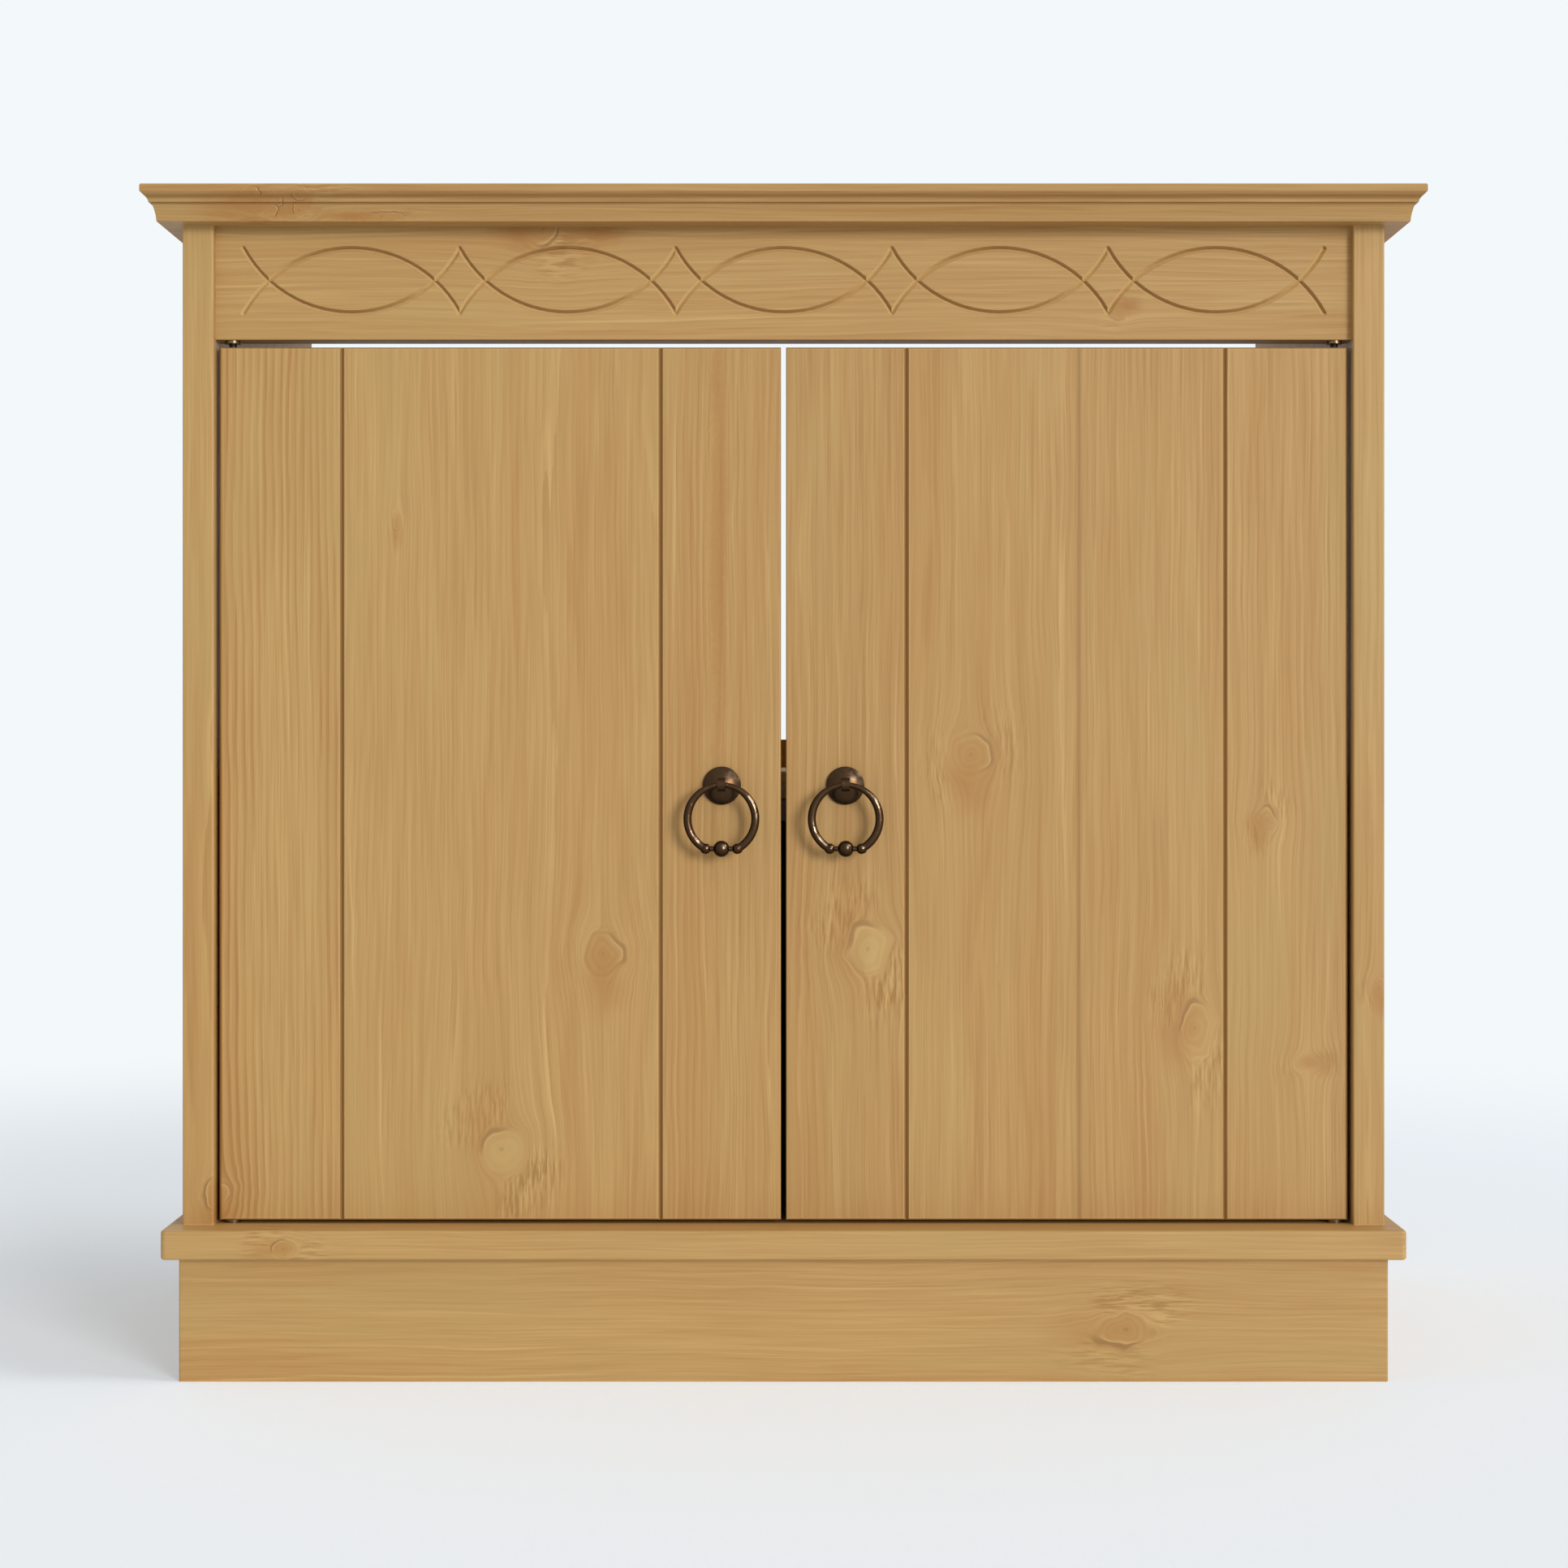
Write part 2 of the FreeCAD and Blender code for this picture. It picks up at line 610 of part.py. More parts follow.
def jointed_edge(x, outward, tongue_reach):
    """Return a board edge's outline from front to back; a positive reach is a tongue, a negative a groove."""
    low = FACE + (BOARD - TONGUE_THICK) / 2
    high = low + TONGUE_THICK
    return [
        (x - outward * V_CHAMFER, FACE),
        (x, FACE + V_CHAMFER),
        (x, low),
        (x + outward * tongue_reach, low),
        (x + outward * tongue_reach, high),
        (x, high),
        (x, FACE_BACK),
    ]


def plain_edge(x):
    """Return a square edge's outline from front to back."""
    return [(x, FACE), (x, FACE_BACK)]


def door_board(low_edge, high_edge):
    """Return an upright door board between two edge outlines, with its end arrises eased."""
    outline = [Vector(x, y, DOOR_BOTTOM) for x, y in low_edge[::-1] + high_edge]
    board = prism(outline, Z_AXIS * (DOOR_TOP - DOOR_BOTTOM))
    cutters = []
    for z, inward in ((DOOR_BOTTOM, 1), (DOOR_TOP, -1)):
        corner = Vector(0, FACE, z)
        up_face = Vector(0, FACE, z + inward * DOOR_EASE)
        along_end = Vector(0, FACE + DOOR_EASE, z)
        cutters.append(prism([corner, up_face, along_end], X_AXIS * TOP_HALF))
    return board.cut(cutters)


def door_boards():
    """Return the right-hand door's outer, middle and inner boards before they are bored."""
    groove = -(TONGUE_LENGTH + TONGUE_PLAY)
    outer = door_board(jointed_edge(OUTER_JOINT, -1, groove), plain_edge(DOOR_OUT))
    middle = door_board(jointed_edge(INNER_JOINT, -1, groove), jointed_edge(OUTER_JOINT, 1, TONGUE_LENGTH))
    inner = door_board(plain_edge(DOOR_IN), jointed_edge(INNER_JOINT, 1, TONGUE_LENGTH))
    outer = rounded_upright(outer, HINGE_ARRIS, lambda p: near(p.x, DOOR_OUT))
    inner = rounded_upright(inner, DOOR_EASE, lambda p: near(p.x, DOOR_IN))
    return outer, middle, inner


def batten_middles():
    """Return the heights of the lower and upper battens' middles."""
    return DOOR_BOTTOM + BATTEN_FROM_END, DOOR_TOP - BATTEN_FROM_END


def batten_screws(middle):
    """Return the staggered screws of one batten."""
    y = FACE_BACK + BATTEN_THICK
    screws = []
    for i, x in enumerate(BATTEN_SCREW_X):
        z = middle + BATTEN_SCREW_STAGGER * (-1) ** i
        screws.append(wood_screw(Vector(x, y, z), -Y_AXIS, BATTEN_SCREW_LENGTH))
    return screws


def batten(middle):
    """Return a bevelled batten across the door's back."""
    low = middle - BATTEN_HEIGHT / 2
    high = middle + BATTEN_HEIGHT / 2
    back = FACE_BACK + BATTEN_THICK
    outline = [
        Vector(BATTEN_START, FACE_BACK, low),
        Vector(BATTEN_START, back - BATTEN_BEVEL, low),
        Vector(BATTEN_START, back, low + BATTEN_BEVEL),
        Vector(BATTEN_START, back, high - BATTEN_BEVEL),
        Vector(BATTEN_START, back - BATTEN_BEVEL, high),
        Vector(BATTEN_START, FACE_BACK, high),
    ]
    return prism(outline, X_AXIS * (BATTEN_END - BATTEN_START)).cut(batten_screws(middle))


# Ring pulls, made for the right-hand side


def pull_screw():
    """Return the machine screw that holds the rosette from inside."""
    seat = FACE_BACK + WASHER_THICK
    head = Part.makeCylinder(PULL_HEAD_RADIUS, PULL_HEAD_HEIGHT, Vector(PULL_X, seat, PULL_Z), Y_AXIS)
    far = seat + PULL_HEAD_HEIGHT
    far_rim = [edge for edge in head.Edges if edge.Closed and near(edge.BoundBox.YMin, far)]
    head = head.makeFillet(PULL_HEAD_HEIGHT / 2, far_rim)
    length = seat - FACE + PULL_SCREW_IN_DOME
    shank = Part.makeCylinder(PULL_SCREW_RADIUS, length, Vector(PULL_X, seat, PULL_Z), -Y_AXIS)
    return head.fuse(shank).removeSplitter()


def pull_screw_hole():
    """Return the cutter for the pull's hole through the door."""
    start = Vector(PULL_X, FACE - BOARD, PULL_Z)
    length = FACE_BACK - FACE + 2 * BOARD
    return Part.makeCylinder(PULL_SCREW_RADIUS + PULL_SCREW_PLAY, length, start, Y_AXIS)


def pull_washer():
    """Return the washer under the pull's screw head."""
    start = Vector(PULL_X, FACE_BACK, PULL_Z)
    washer = Part.makeCylinder(WASHER_RADIUS, WASHER_THICK, start, Y_AXIS)
    return washer.cut(pull_screw_hole())


def pull_rosette():
    """Return the domed rosette with the bored eye that carries the ring."""
    centre = Vector(PULL_X, FACE, PULL_Z)
    rim = Vector(PULL_X + DOME_RADIUS, FACE, PULL_Z)
    shoulder = Vector(PULL_X + DOME_RADIUS, FACE - DOME_RIM, PULL_Z)
    crown = Vector(PULL_X, FACE - DOME_HEIGHT, PULL_Z)
    rise = DOME_HEIGHT - DOME_RIM
    ball = (DOME_RADIUS**2 + rise**2) / (2 * rise)
    half_way = DOME_RADIUS / 2
    bulge = FACE - DOME_HEIGHT + ball - math.sqrt(ball**2 - half_way**2)
    profile = Part.Wire([
        Part.LineSegment(centre, rim).toShape(),
        Part.LineSegment(rim, shoulder).toShape(),
        Part.Arc(shoulder, Vector(PULL_X + half_way, bulge, PULL_Z), crown).toShape(),
        Part.LineSegment(crown, centre).toShape(),
    ])
    dome = Part.Face(profile).revolve(centre, Y_AXIS, 360)
    left = PULL_X - EYE_WIDTH / 2
    knuckle = Part.makeCylinder(EYE_RADIUS, EYE_WIDTH, Vector(left, EYE_Y, EYE_Z), X_AXIS)
    stem = block(
        left, left + EYE_WIDTH, EYE_Y, FACE - DOME_RIM, EYE_Z - EYE_RADIUS, EYE_Z + EYE_RADIUS
    )
    body = dome.fuse([knuckle, stem]).removeSplitter()
    bore = Part.makeCylinder(EYE_BORE, 2 * EYE_WIDTH, Vector(PULL_X - EYE_WIDTH, EYE_Y, EYE_Z), X_AXIS)
    return body.cut([bore, pull_screw()])


def ring_foot(centre, half_length):
    """Return the ring's turned foot: a bead at each end of a thin neck, and a ball at its middle."""

    def point(along, out):
        return centre + Vector(along, 0, out)

    ball_end = math.sqrt(BALL_RADIUS**2 - NECK_RADIUS**2)
    bead_end = half_length - math.sqrt(BEAD_RADIUS**2 - NECK_RADIUS**2)
    tip = half_length + BEAD_RADIUS
    left_bead = Part.Arc(point(-tip, 0), point(-half_length, BEAD_RADIUS), point(-bead_end, NECK_RADIUS))
    ball = Part.Arc(point(-ball_end, NECK_RADIUS), point(0, BALL_RADIUS), point(ball_end, NECK_RADIUS))
    right_bead = Part.Arc(point(bead_end, NECK_RADIUS), point(half_length, BEAD_RADIUS), point(tip, 0))
    outline = [
        left_bead.toShape(),
        Part.LineSegment(point(-bead_end, NECK_RADIUS), point(-ball_end, NECK_RADIUS)).toShape(),
        ball.toShape(),
        Part.LineSegment(point(ball_end, NECK_RADIUS), point(bead_end, NECK_RADIUS)).toShape(),
        right_bead.toShape(),
        Part.LineSegment(point(tip, 0), point(-tip, 0)).toShape(),
    ]
    return Part.Face(Part.Wire(outline)).revolve(centre, X_AXIS, 360)


def ring():
    """Return the ring: a round wire whose ends meet the beads of a straight foot."""
    middle = Vector(PULL_X, EYE_Y, EYE_Z - RING_RADIUS)
    turn = math.radians(FOOT_ANGLE)
    half_foot = RING_RADIUS * math.sin(turn)
    drop = RING_RADIUS * math.cos(turn)
    left_end = middle - Vector(half_foot, 0, drop)
    tangent = Vector(-math.cos(turn), 0, math.sin(turn))
    section = Part.Face(Part.Wire(Part.makeCircle(RING_WIRE, left_end, tangent)))
    hoop = section.revolve(middle, Y_AXIS, 360 - 2 * FOOT_ANGLE)
    return hoop.fuse(ring_foot(middle - Z_AXIS * drop, half_foot)).removeSplitter()


def save_carcass():
    """Write the fixed nodes."""
    save("top_board", top_board())
    save("side_panel_right", side_panel())
    save("side_panel_left", mirrored(side_panel()))
    save("base_board", base_board())
    save("frieze_rail", frieze_rail())
    save("shelf", shelf())
    save("shelf_cleat_right", shelf_cleat())
    save("shelf_cleat_left", mirrored(shelf_cleat()))
    save("back_rail", back_rail())
    save("back_panel", back_panel())
    save("plinth_front", plinth_front())
    save("plinth_side_right", plinth_side())
    save("plinth_side_left", mirrored(plinth_side()))
    save("plinth_back", plinth_back())
    save("plinth_blocks", *plinth_blocks())
    save("top_dowels", *both_sides([dowel(p, Z_AXIS, DOWEL_LENGTH) for p in top_dowel_starts()]))
    save("base_dowels", *both_sides([dowel(p, Z_AXIS, DOWEL_LENGTH) for p in base_dowel_starts()]))
    save("frieze_dowels", *both_sides([dowel(p, X_AXIS, DOWEL_LENGTH) for p in frieze_dowel_starts()]))
    save("back_rail_dowels", *both_sides([dowel(p, X_AXIS, DOWEL_LENGTH) for p in rail_dowel_starts()]))
    save("cleat_screws", *both_sides(cleat_screws()))
    save("back_panel_nails", *back_nails())
    save("pivot_bushes", *pivot_bushes())
    save("catch_housing", catch_housing())
    save("catch_magnets", *both_sides([catch_magnet()]))
    save("catch_screws", *catch_screws())


def save_doors():
    """Write the nodes of both doors and their rings."""
    lower, upper = batten_middles()
    screws = batten_screws(lower) + batten_screws(upper)
    outer, middle, inner = door_boards()
    solids = {
        "door_{}_outer_board": [outer.cut(screws + pivot_pins())],
        "door_{}_middle_board": [middle.cut(screws)],
        "door_{}_inner_board": [inner.cut(screws + [pull_screw_hole(), strike_screw()])],
        "door_{}_lower_batten": [batten(lower)],
        "door_{}_upper_batten": [batten(upper)],
        "door_{}_batten_screws": screws,
        "door_{}_pivot_pins": pivot_pins(),
        "door_{}_strike": [strike_plate()],
        "door_{}_strike_screw": [strike_screw()],
        "pull_{}_rosette": [pull_rosette()],
        "pull_{}_screw": [pull_screw()],
        "pull_{}_washer": [pull_washer()],
        "ring_{}": [ring()],
    }
    for name, shapes in solids.items():
        save(name.format("right"), *shapes)
        save(name.format("left"), *[mirrored(shape) for shape in shapes])


os.makedirs("parts", exist_ok=True)
save_carcass()
save_doors()
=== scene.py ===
import logging
import math
from dataclasses import dataclass
from enum import Enum
from functools import partial

import bmesh
import bpy
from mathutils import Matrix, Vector


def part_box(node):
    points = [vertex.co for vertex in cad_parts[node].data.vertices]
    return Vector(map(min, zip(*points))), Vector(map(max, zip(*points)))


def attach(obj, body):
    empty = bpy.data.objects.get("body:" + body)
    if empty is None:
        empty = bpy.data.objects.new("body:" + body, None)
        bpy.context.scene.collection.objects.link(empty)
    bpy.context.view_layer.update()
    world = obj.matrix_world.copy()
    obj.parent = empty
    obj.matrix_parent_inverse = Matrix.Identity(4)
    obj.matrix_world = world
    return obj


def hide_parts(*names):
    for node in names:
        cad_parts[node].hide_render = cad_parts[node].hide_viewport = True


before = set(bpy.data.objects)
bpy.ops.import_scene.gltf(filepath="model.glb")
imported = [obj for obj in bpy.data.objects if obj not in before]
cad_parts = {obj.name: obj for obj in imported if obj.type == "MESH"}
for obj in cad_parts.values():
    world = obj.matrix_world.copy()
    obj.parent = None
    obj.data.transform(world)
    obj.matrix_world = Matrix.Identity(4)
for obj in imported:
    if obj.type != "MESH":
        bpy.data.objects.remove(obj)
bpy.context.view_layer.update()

log = logging.getLogger("vanity_unit")

MM = 0.001

# What a node's input takes: another node, one of its outputs or a constant
Feed = bpy.types.Node | bpy.types.NodeSocket | float | tuple
# Where something starts and where it ends
Span = tuple[float, float]
# Where a value starts and ends, and what it is turned to there
Ramp = tuple[float, float, float, float]
# How much of a colour shows, and the colour as an sRGB hex value
Coat = tuple[Feed, str]
Direction = tuple[float, float, float]

# A Mix node keeps its sockets for colours behind those for other values
MIX_SHARE, MIX_UNDER, MIX_OVER = 0, 6, 7
MIX_RESULT = 2
# Eases a MapRange in and out
SMOOTH = {"interpolation_type": "SMOOTHSTEP"}


class Axis(Enum):
    """A direction of the row frame."""

    X = 0
    Y = 1
    Z = 2


class Side(Enum):
    """A side of the unit, as someone who faces the doors sees it."""

    LEFT = "left"
    RIGHT = "right"


def linear(code: str) -> tuple[float, float, float, float]:
    """Turn an sRGB hex value to a linear colour.

    Args:
        code: The colour as "#RRGGBB".

    Returns:
        Red, green, blue and an alpha of one.
    """
    channels = [int(code[i:i + 2], 16) / 255 for i in (1, 3, 5)]
    red, green, blue = [c / 12.92 if c <= 0.04045 else ((c + 0.055) / 1.055) ** 2.4 for c in channels]
    return red, green, blue, 1.0


class NodeSheet:
    """The node sheet of one material or of the world."""

    def __init__(self, owner: bpy.types.Material | bpy.types.World) -> None:
        """Start an empty sheet.

        Args:
            owner: The material or the world that the sheet belongs to.
        """
        owner.use_nodes = True
        self.tree = owner.node_tree
        self.tree.nodes.clear()

    def add(self, kind: str, feeds: dict | tuple = (), **settings: object) -> bpy.types.Node:
        """Add one node with its settings and links.

        Args:
            kind: The node's type without its "ShaderNode" prefix, and its operation if it has one.
            feeds: What the inputs take, in their order or by name or index.
            **settings: The node's own properties.

        Returns:
            The new node.
        """
        kind, _, operation = kind.partition(" ")
        node = self.tree.nodes.new("ShaderNode" + kind)
        if operation:
            node.operation = operation
        for name, value in settings.items():
            setattr(node, name, value)
        for key, feed in feeds.items() if isinstance(feeds, dict) else enumerate(feeds):
            if isinstance(feed, bpy.types.Node):
                feed = feed.outputs[0]
            if isinstance(feed, bpy.types.NodeSocket):
                self.tree.links.new(feed, node.inputs[key])
            else:
                node.inputs[key].default_value = feed
        return node

    def measure(self) -> tuple[bpy.types.Node, bpy.types.Node]:
        """Add the coordinates and, from them, the place on the piece in millimetres."""
        coords = self.add("TexCoord")
        return coords, self.add("VectorMath SCALE", {0: coords.outputs["Object"], 3: 1 / MM})

    def lay_coats(self, ground: str, coats: list[Coat]) -> Feed:
        """Lay coats of colour over a ground, one after the other.

        Args:
            ground: The colour underneath, as an sRGB hex value.
            coats: The coats, the lowest first.

        Returns:
            The colour that shows.
        """
        colour = linear(ground)
        for share, code in coats:
            feeds = {MIX_SHARE: share, MIX_UNDER: colour, MIX_OVER: linear(code)}
            colour = self.add("Mix", feeds, data_type="RGBA").outputs[MIX_RESULT]
        return colour


@dataclass(frozen=True)
class Knot:
    """A branch cut through, in millimetres of the row frame.

    Fields: its place across and along the grain, its radius, its length over its width, how pale (above
    zero) or brown (below) its heart is, the side on which its bark line is darkest, in degrees from across
    to along, where the resin smear lies from it in the same way, how strong that smear is, how clear its
    outline and rings are, how strongly the torn grain beside it shows, and whether it is on the board's side
    and not on its face.
    """

    across: float
    along: float
    radius: float
    length: float = 1.15
    pale: float = -0.4
    bark_degrees: float = 20.0
    smear_degrees: float = -90.0
    smear: float = 0.8
    outline: float = 0.8
    fan: float = 0.5
    on_side: bool = False


@dataclass(frozen=True)
class Board:
    """How one board was sawn from its log.

    Fields: its CAD node, the axis that the grain follows, the axis across its face, where the pith lay from
    the board's middle (across and deep, in millimetres), the ring spacing, a seed, its knots, a lightness,
    the height or width in millimetres at which two glued strips meet, whether stain has gathered in its
    V-joints, the heights and half widths of a moulding's quirks that get a line of painted shade, whether
    its arrises get a painted highlight, whether its carving gets painted light and shade, how strong its
    late lines are and how far its grain wanders in millimetres.
    """

    node: str
    grain: Axis
    across: Axis
    pith: Span
    ring_mm: float
    seed: float
    knots: tuple[Knot, ...] = ()
    tone: float = 0.0
    glue_line: float | None = None
    jointed: bool = False
    quirks: tuple[Span, ...] = ()
    rubbed: bool = False
    carved: bool = False
    lines: float = 0.3
    wave_mm: float = 6.0

    @property
    def deep(self) -> Axis:
        """Give the axis through the board."""
        return next(axis for axis in Axis if axis not in (self.grain, self.across))


@dataclass(frozen=True)
class BoardSpace:
    """The places on one board that its patterns are drawn by, in millimetres.

    Fields: the direction that the surface faces, the places across, through and along the board, all three
    in one, where the board's face lies, and where the pith lay.
    """

    normal: Feed
    across: Feed
    deep: Feed
    along: Feed
    raw: Feed
    face: float
    pith: Direction


@dataclass(frozen=True)
class KnotSpace:
    """Where the places on a board lie from one knot.

    Fields: the place across and along from the knot's middle, how far that is across, what is added to the
    distance behind the branch's end, the distance in knot radii, and how far round to the bark's side.
    """

    place: Feed
    off: Feed
    ended: Feed
    reach: Feed
    bearing: Feed


@dataclass
class KnotMarks:
    """What a board's knots do to its face, gathered knot by knot.

    Fields: the places across and through the board once the grain has parted, how pale the hearts are, the
    dark bark lines, the light lines inside them, the light and dark of rings and torn grain, and the resin.
    """

    across: Feed
    deep: Feed
    heart: Feed = 0.0
    bark: Feed = 0.0
    gleam: Feed = 0.0
    ripple: Feed = 0.0
    resin: Feed = 0.0


@dataclass(frozen=True)
class Grain:
    """A board's patterns: fibres, strands, wide bands, slow sway, dark late lines and light ring lines."""

    fibre: Feed
    strand: Feed
    band: Feed
    sway: Feed
    late: Feed
    crest: Feed


@dataclass(frozen=True)
class Streaks:
    """A pattern that is drawn out along the grain.

    Fields: the streaks' width and length in millimetres, a shift of the seed that sets them apart from the
    board's other streaks, how fine and how rough they are, and the seed's steps across, deep and along.
    """

    width_mm: float
    run_mm: float
    shift: float = 0.0
    detail: float = 2.5
    roughness: float = 0.6
    seed_steps: Direction = (1.0, 3.0, 7.0)

    def draw(self, sheet: NodeSheet, space: Feed, seed: float) -> bpy.types.Node:
        """Add the pattern.

        Args:
            sheet: The sheet to draw on.
            space: The grain space, in millimetres across, deep and along.
            seed: Where in the pattern the board lies.

        Returns:
            The pattern's node.
        """
        scale = (1 / self.width_mm, 1 / self.width_mm, 1 / self.run_mm)
        start = tuple(step * (seed + self.shift) for step in self.seed_steps)
        drawn = sheet.add("VectorMath MULTIPLY_ADD", (space, scale, start))
        feeds = {"Vector": drawn, "Scale": 1.0, "Detail": self.detail, "Roughness": self.roughness}
        return sheet.add("TexNoise", feeds)


@dataclass(frozen=True)
class PineKnots:
    """Knots in planed pine.

    The eye gets a pale or brown heart with faint rings, a dark bark line on one side with a light line inside
    it, dashes of torn grain beside it and a brown smear of resin. Sizes are in knot radii, apart from those
    in millimetres.
    """

    wobble: float = 0.9
    wobble_scale: float = 0.7
    wobble_detail: float = 1.0
    ends_mm: Span = (16.5, 26.0)
    end_reach: float = 5.0
    parting_power: float = -2.0
    bark_side: Ramp = (0.25, 0.95, 0.0, 1.0)
    bark_at: float = 1.0
    bark_line: Ramp = (0.02, 0.2, 1.0, 0.0)
    pith: Ramp = (0.04, 0.17, 0.6, 0.0)
    gleam_at: float = 0.85
    gleam_line: Ramp = (0.01, 0.08, 1.0, 0.0)
    heart: Span = (0.3, 1.25)
    dash: Streaks = Streaks(1.5, 16.0)
    dash_light: Ramp = (0.42, 0.62, 0.5, -1.0)
    torn_side: Span = (0.45, 0.9)
    torn_start: Ramp = (1.0, 1.5, 0.0, 1.0)
    torn_end: Ramp = (1.8, 3.8, 1.0, 0.0)
    rings: float = 3.0
    ring_edge: Span = (0.9, 1.5)
    ring_share: float = 0.5
    smear_at: float = 1.2
    smear_squash: Direction = (1.0, 0.7, 0.0)
    smear: Span = (0.2, 1.7)

    def look_from(self, sheet: NodeSheet, knot: Knot, space: BoardSpace) -> KnotSpace:
        """Find where the places on a board lie from a knot.

        Args:
            sheet: The sheet to draw on.
            knot: The knot.
            space: The places on the board.

        Returns:
            The places, seen from the knot.
        """
        through = (0.0, 1.0, 0.0)
        flat = through if knot.on_side else (1.0, 0.0, 0.0)
        spot = (knot.across, knot.across, knot.along)
        away = sheet.add("VectorMath SUBTRACT", (space.raw, spot))
        off = sheet.add("VectorMath DOT_PRODUCT", (away, flat)).outputs["Value"]
        upright = (0.0, 0.0, 1 / knot.length)
        rise = sheet.add("VectorMath DOT_PRODUCT", (away, upright)).outputs["Value"]

        # A slow noise keeps the outline from being a true round
        scale = self.wobble_scale / knot.radius
        feeds = {"Vector": space.raw, "Scale": scale, "Detail": self.wobble_detail}
        ragged = sheet.add("TexNoise", feeds).outputs["Color"]
        wear = sheet.add("VectorMath SUBTRACT", (ragged, (0.5, 0.5, 0.5)))
        place = sheet.add("CombineXYZ", (off, rise))
        bend = (self.wobble * knot.radius, self.wobble * knot.radius, 0.0)
        place = sheet.add("VectorMath MULTIPLY_ADD", (wear, bend, place))
        gap = sheet.add("VectorMath LENGTH", (place,)).outputs["Value"]

        # The branch ends a board's thickness behind the face
        ended = 0.0
        if not knot.on_side:
            behind = sheet.add("VectorMath DOT_PRODUCT", (space.raw, through)).outputs["Value"]
            start, end = (space.face + depth for depth in self.ends_mm)
            ended = sheet.add("MapRange", (behind, start, end, 0.0, self.end_reach * knot.radius))
        gap = sheet.add("Math ADD", (gap, ended))
        reach = sheet.add("Math DIVIDE", (gap, knot.radius))

        turn = math.radians(knot.bark_degrees)
        towards = (math.cos(turn), math.sin(turn), 0.0)
        bearing = sheet.add("VectorMath NORMALIZE", (place,))
        bearing = sheet.add("VectorMath DOT_PRODUCT", (bearing, towards)).outputs["Value"]
        return KnotSpace(place, off, ended, reach, bearing)

    def draw(self, sheet: NodeSheet, knot: Knot, space: BoardSpace, marks: KnotMarks) -> None:
        """Draw one knot and part the grain round it.

        Args:
            sheet: The sheet to draw on.
            knot: The knot.
            space: The places on the board.
            marks: What the knots do to the board, which this one adds to.
        """
        near = self.look_from(sheet, knot, space)
        outside = sheet.add("Math MAXIMUM", (near.reach, 1.0))
        share = sheet.add("Math POWER", (outside, self.parting_power))
        push = sheet.add("Math MULTIPLY", (near.off, share))
        if knot.on_side:
            marks.deep = sheet.add("Math SUBTRACT", (marks.deep, push))
        else:
            marks.across = sheet.add("Math SUBTRACT", (marks.across, push))

        # A dark bark line on one side, a light line inside it, and the dark pith
        shaded = sheet.add("MapRange", (near.bearing, *self.bark_side), **SMOOTH)
        lines = []
        for middle, width in ((self.bark_at, self.bark_line), (self.gleam_at, self.gleam_line)):
            gap = sheet.add("Math SUBTRACT", (near.reach, middle))
            gap = sheet.add("Math ABSOLUTE", (gap,))
            line = sheet.add("MapRange", (gap, *width), **SMOOTH)
            lines.append(sheet.add("Math MULTIPLY", (line, shaded)))
        bark, gleam = lines
        pith = sheet.add("MapRange", (near.reach, *self.pith), **SMOOTH)
        bark = sheet.add("Math MAXIMUM", (bark, pith))
        bark = sheet.add("Math MULTIPLY", (bark, knot.outline))
        marks.bark = sheet.add("Math MAXIMUM", (marks.bark, bark))
        gleam = sheet.add("Math MULTIPLY", (gleam, knot.outline))
        marks.gleam = sheet.add("Math MAXIMUM", (marks.gleam, gleam))

        # Dashes of torn grain on the bark's side and across from it
        dash = self.dash.draw(sheet, space.raw, knot.along)
        dash = sheet.add("MapRange", (dash, *self.dash_light))
        sided = sheet.add("Math ABSOLUTE", (near.bearing,))
        sided = sheet.add("MapRange", (sided, *self.torn_side, 0.0, knot.fan), **SMOOTH)
        start = sheet.add("MapRange", (near.reach, *self.torn_start), **SMOOTH)
        end = sheet.add("MapRange", (near.reach, *self.torn_end), **SMOOTH)
        strength = sheet.add("Math MULTIPLY", (start, end))
        strength = sheet.add("Math MULTIPLY", (strength, sided))
        marks.ripple = sheet.add("Math MULTIPLY_ADD", (dash, strength, marks.ripple))

        # The heart, its rings and the resin beside it
        heart = sheet.add("MapRange", (near.reach, *self.heart, knot.pale, 0.0), **SMOOTH)
        marks.heart = sheet.add("Math ADD", (marks.heart, heart))
        rings = sheet.add("Math MULTIPLY", (near.reach, self.rings * 2 * math.pi))
        rings = sheet.add("Math SINE", (rings,))
        limits = (near.reach, *self.ring_edge, self.ring_share * knot.outline, 0.0)
        inside = sheet.add("MapRange", limits, **SMOOTH)
        marks.ripple = sheet.add("Math MULTIPLY_ADD", (rings, inside, marks.ripple))
        turn = math.radians(knot.smear_degrees)
        shift = self.smear_at * knot.radius
        shift = (shift * math.cos(turn), shift * math.sin(turn), 0.0)
        smear = sheet.add("VectorMath SUBTRACT", (near.place, shift))
        smear = sheet.add("VectorMath MULTIPLY", (smear, self.smear_squash))
        smear = sheet.add("VectorMath LENGTH", (smear,)).outputs["Value"]
        smear = sheet.add("Math ADD", (smear, near.ended))
        start, end = (knot.radius * edge for edge in self.smear)
        resin = sheet.add("MapRange", (smear, start, end, knot.smear, 0.0), **SMOOTH)
        marks.resin = sheet.add("Math MAXIMUM", (marks.resin, resin))


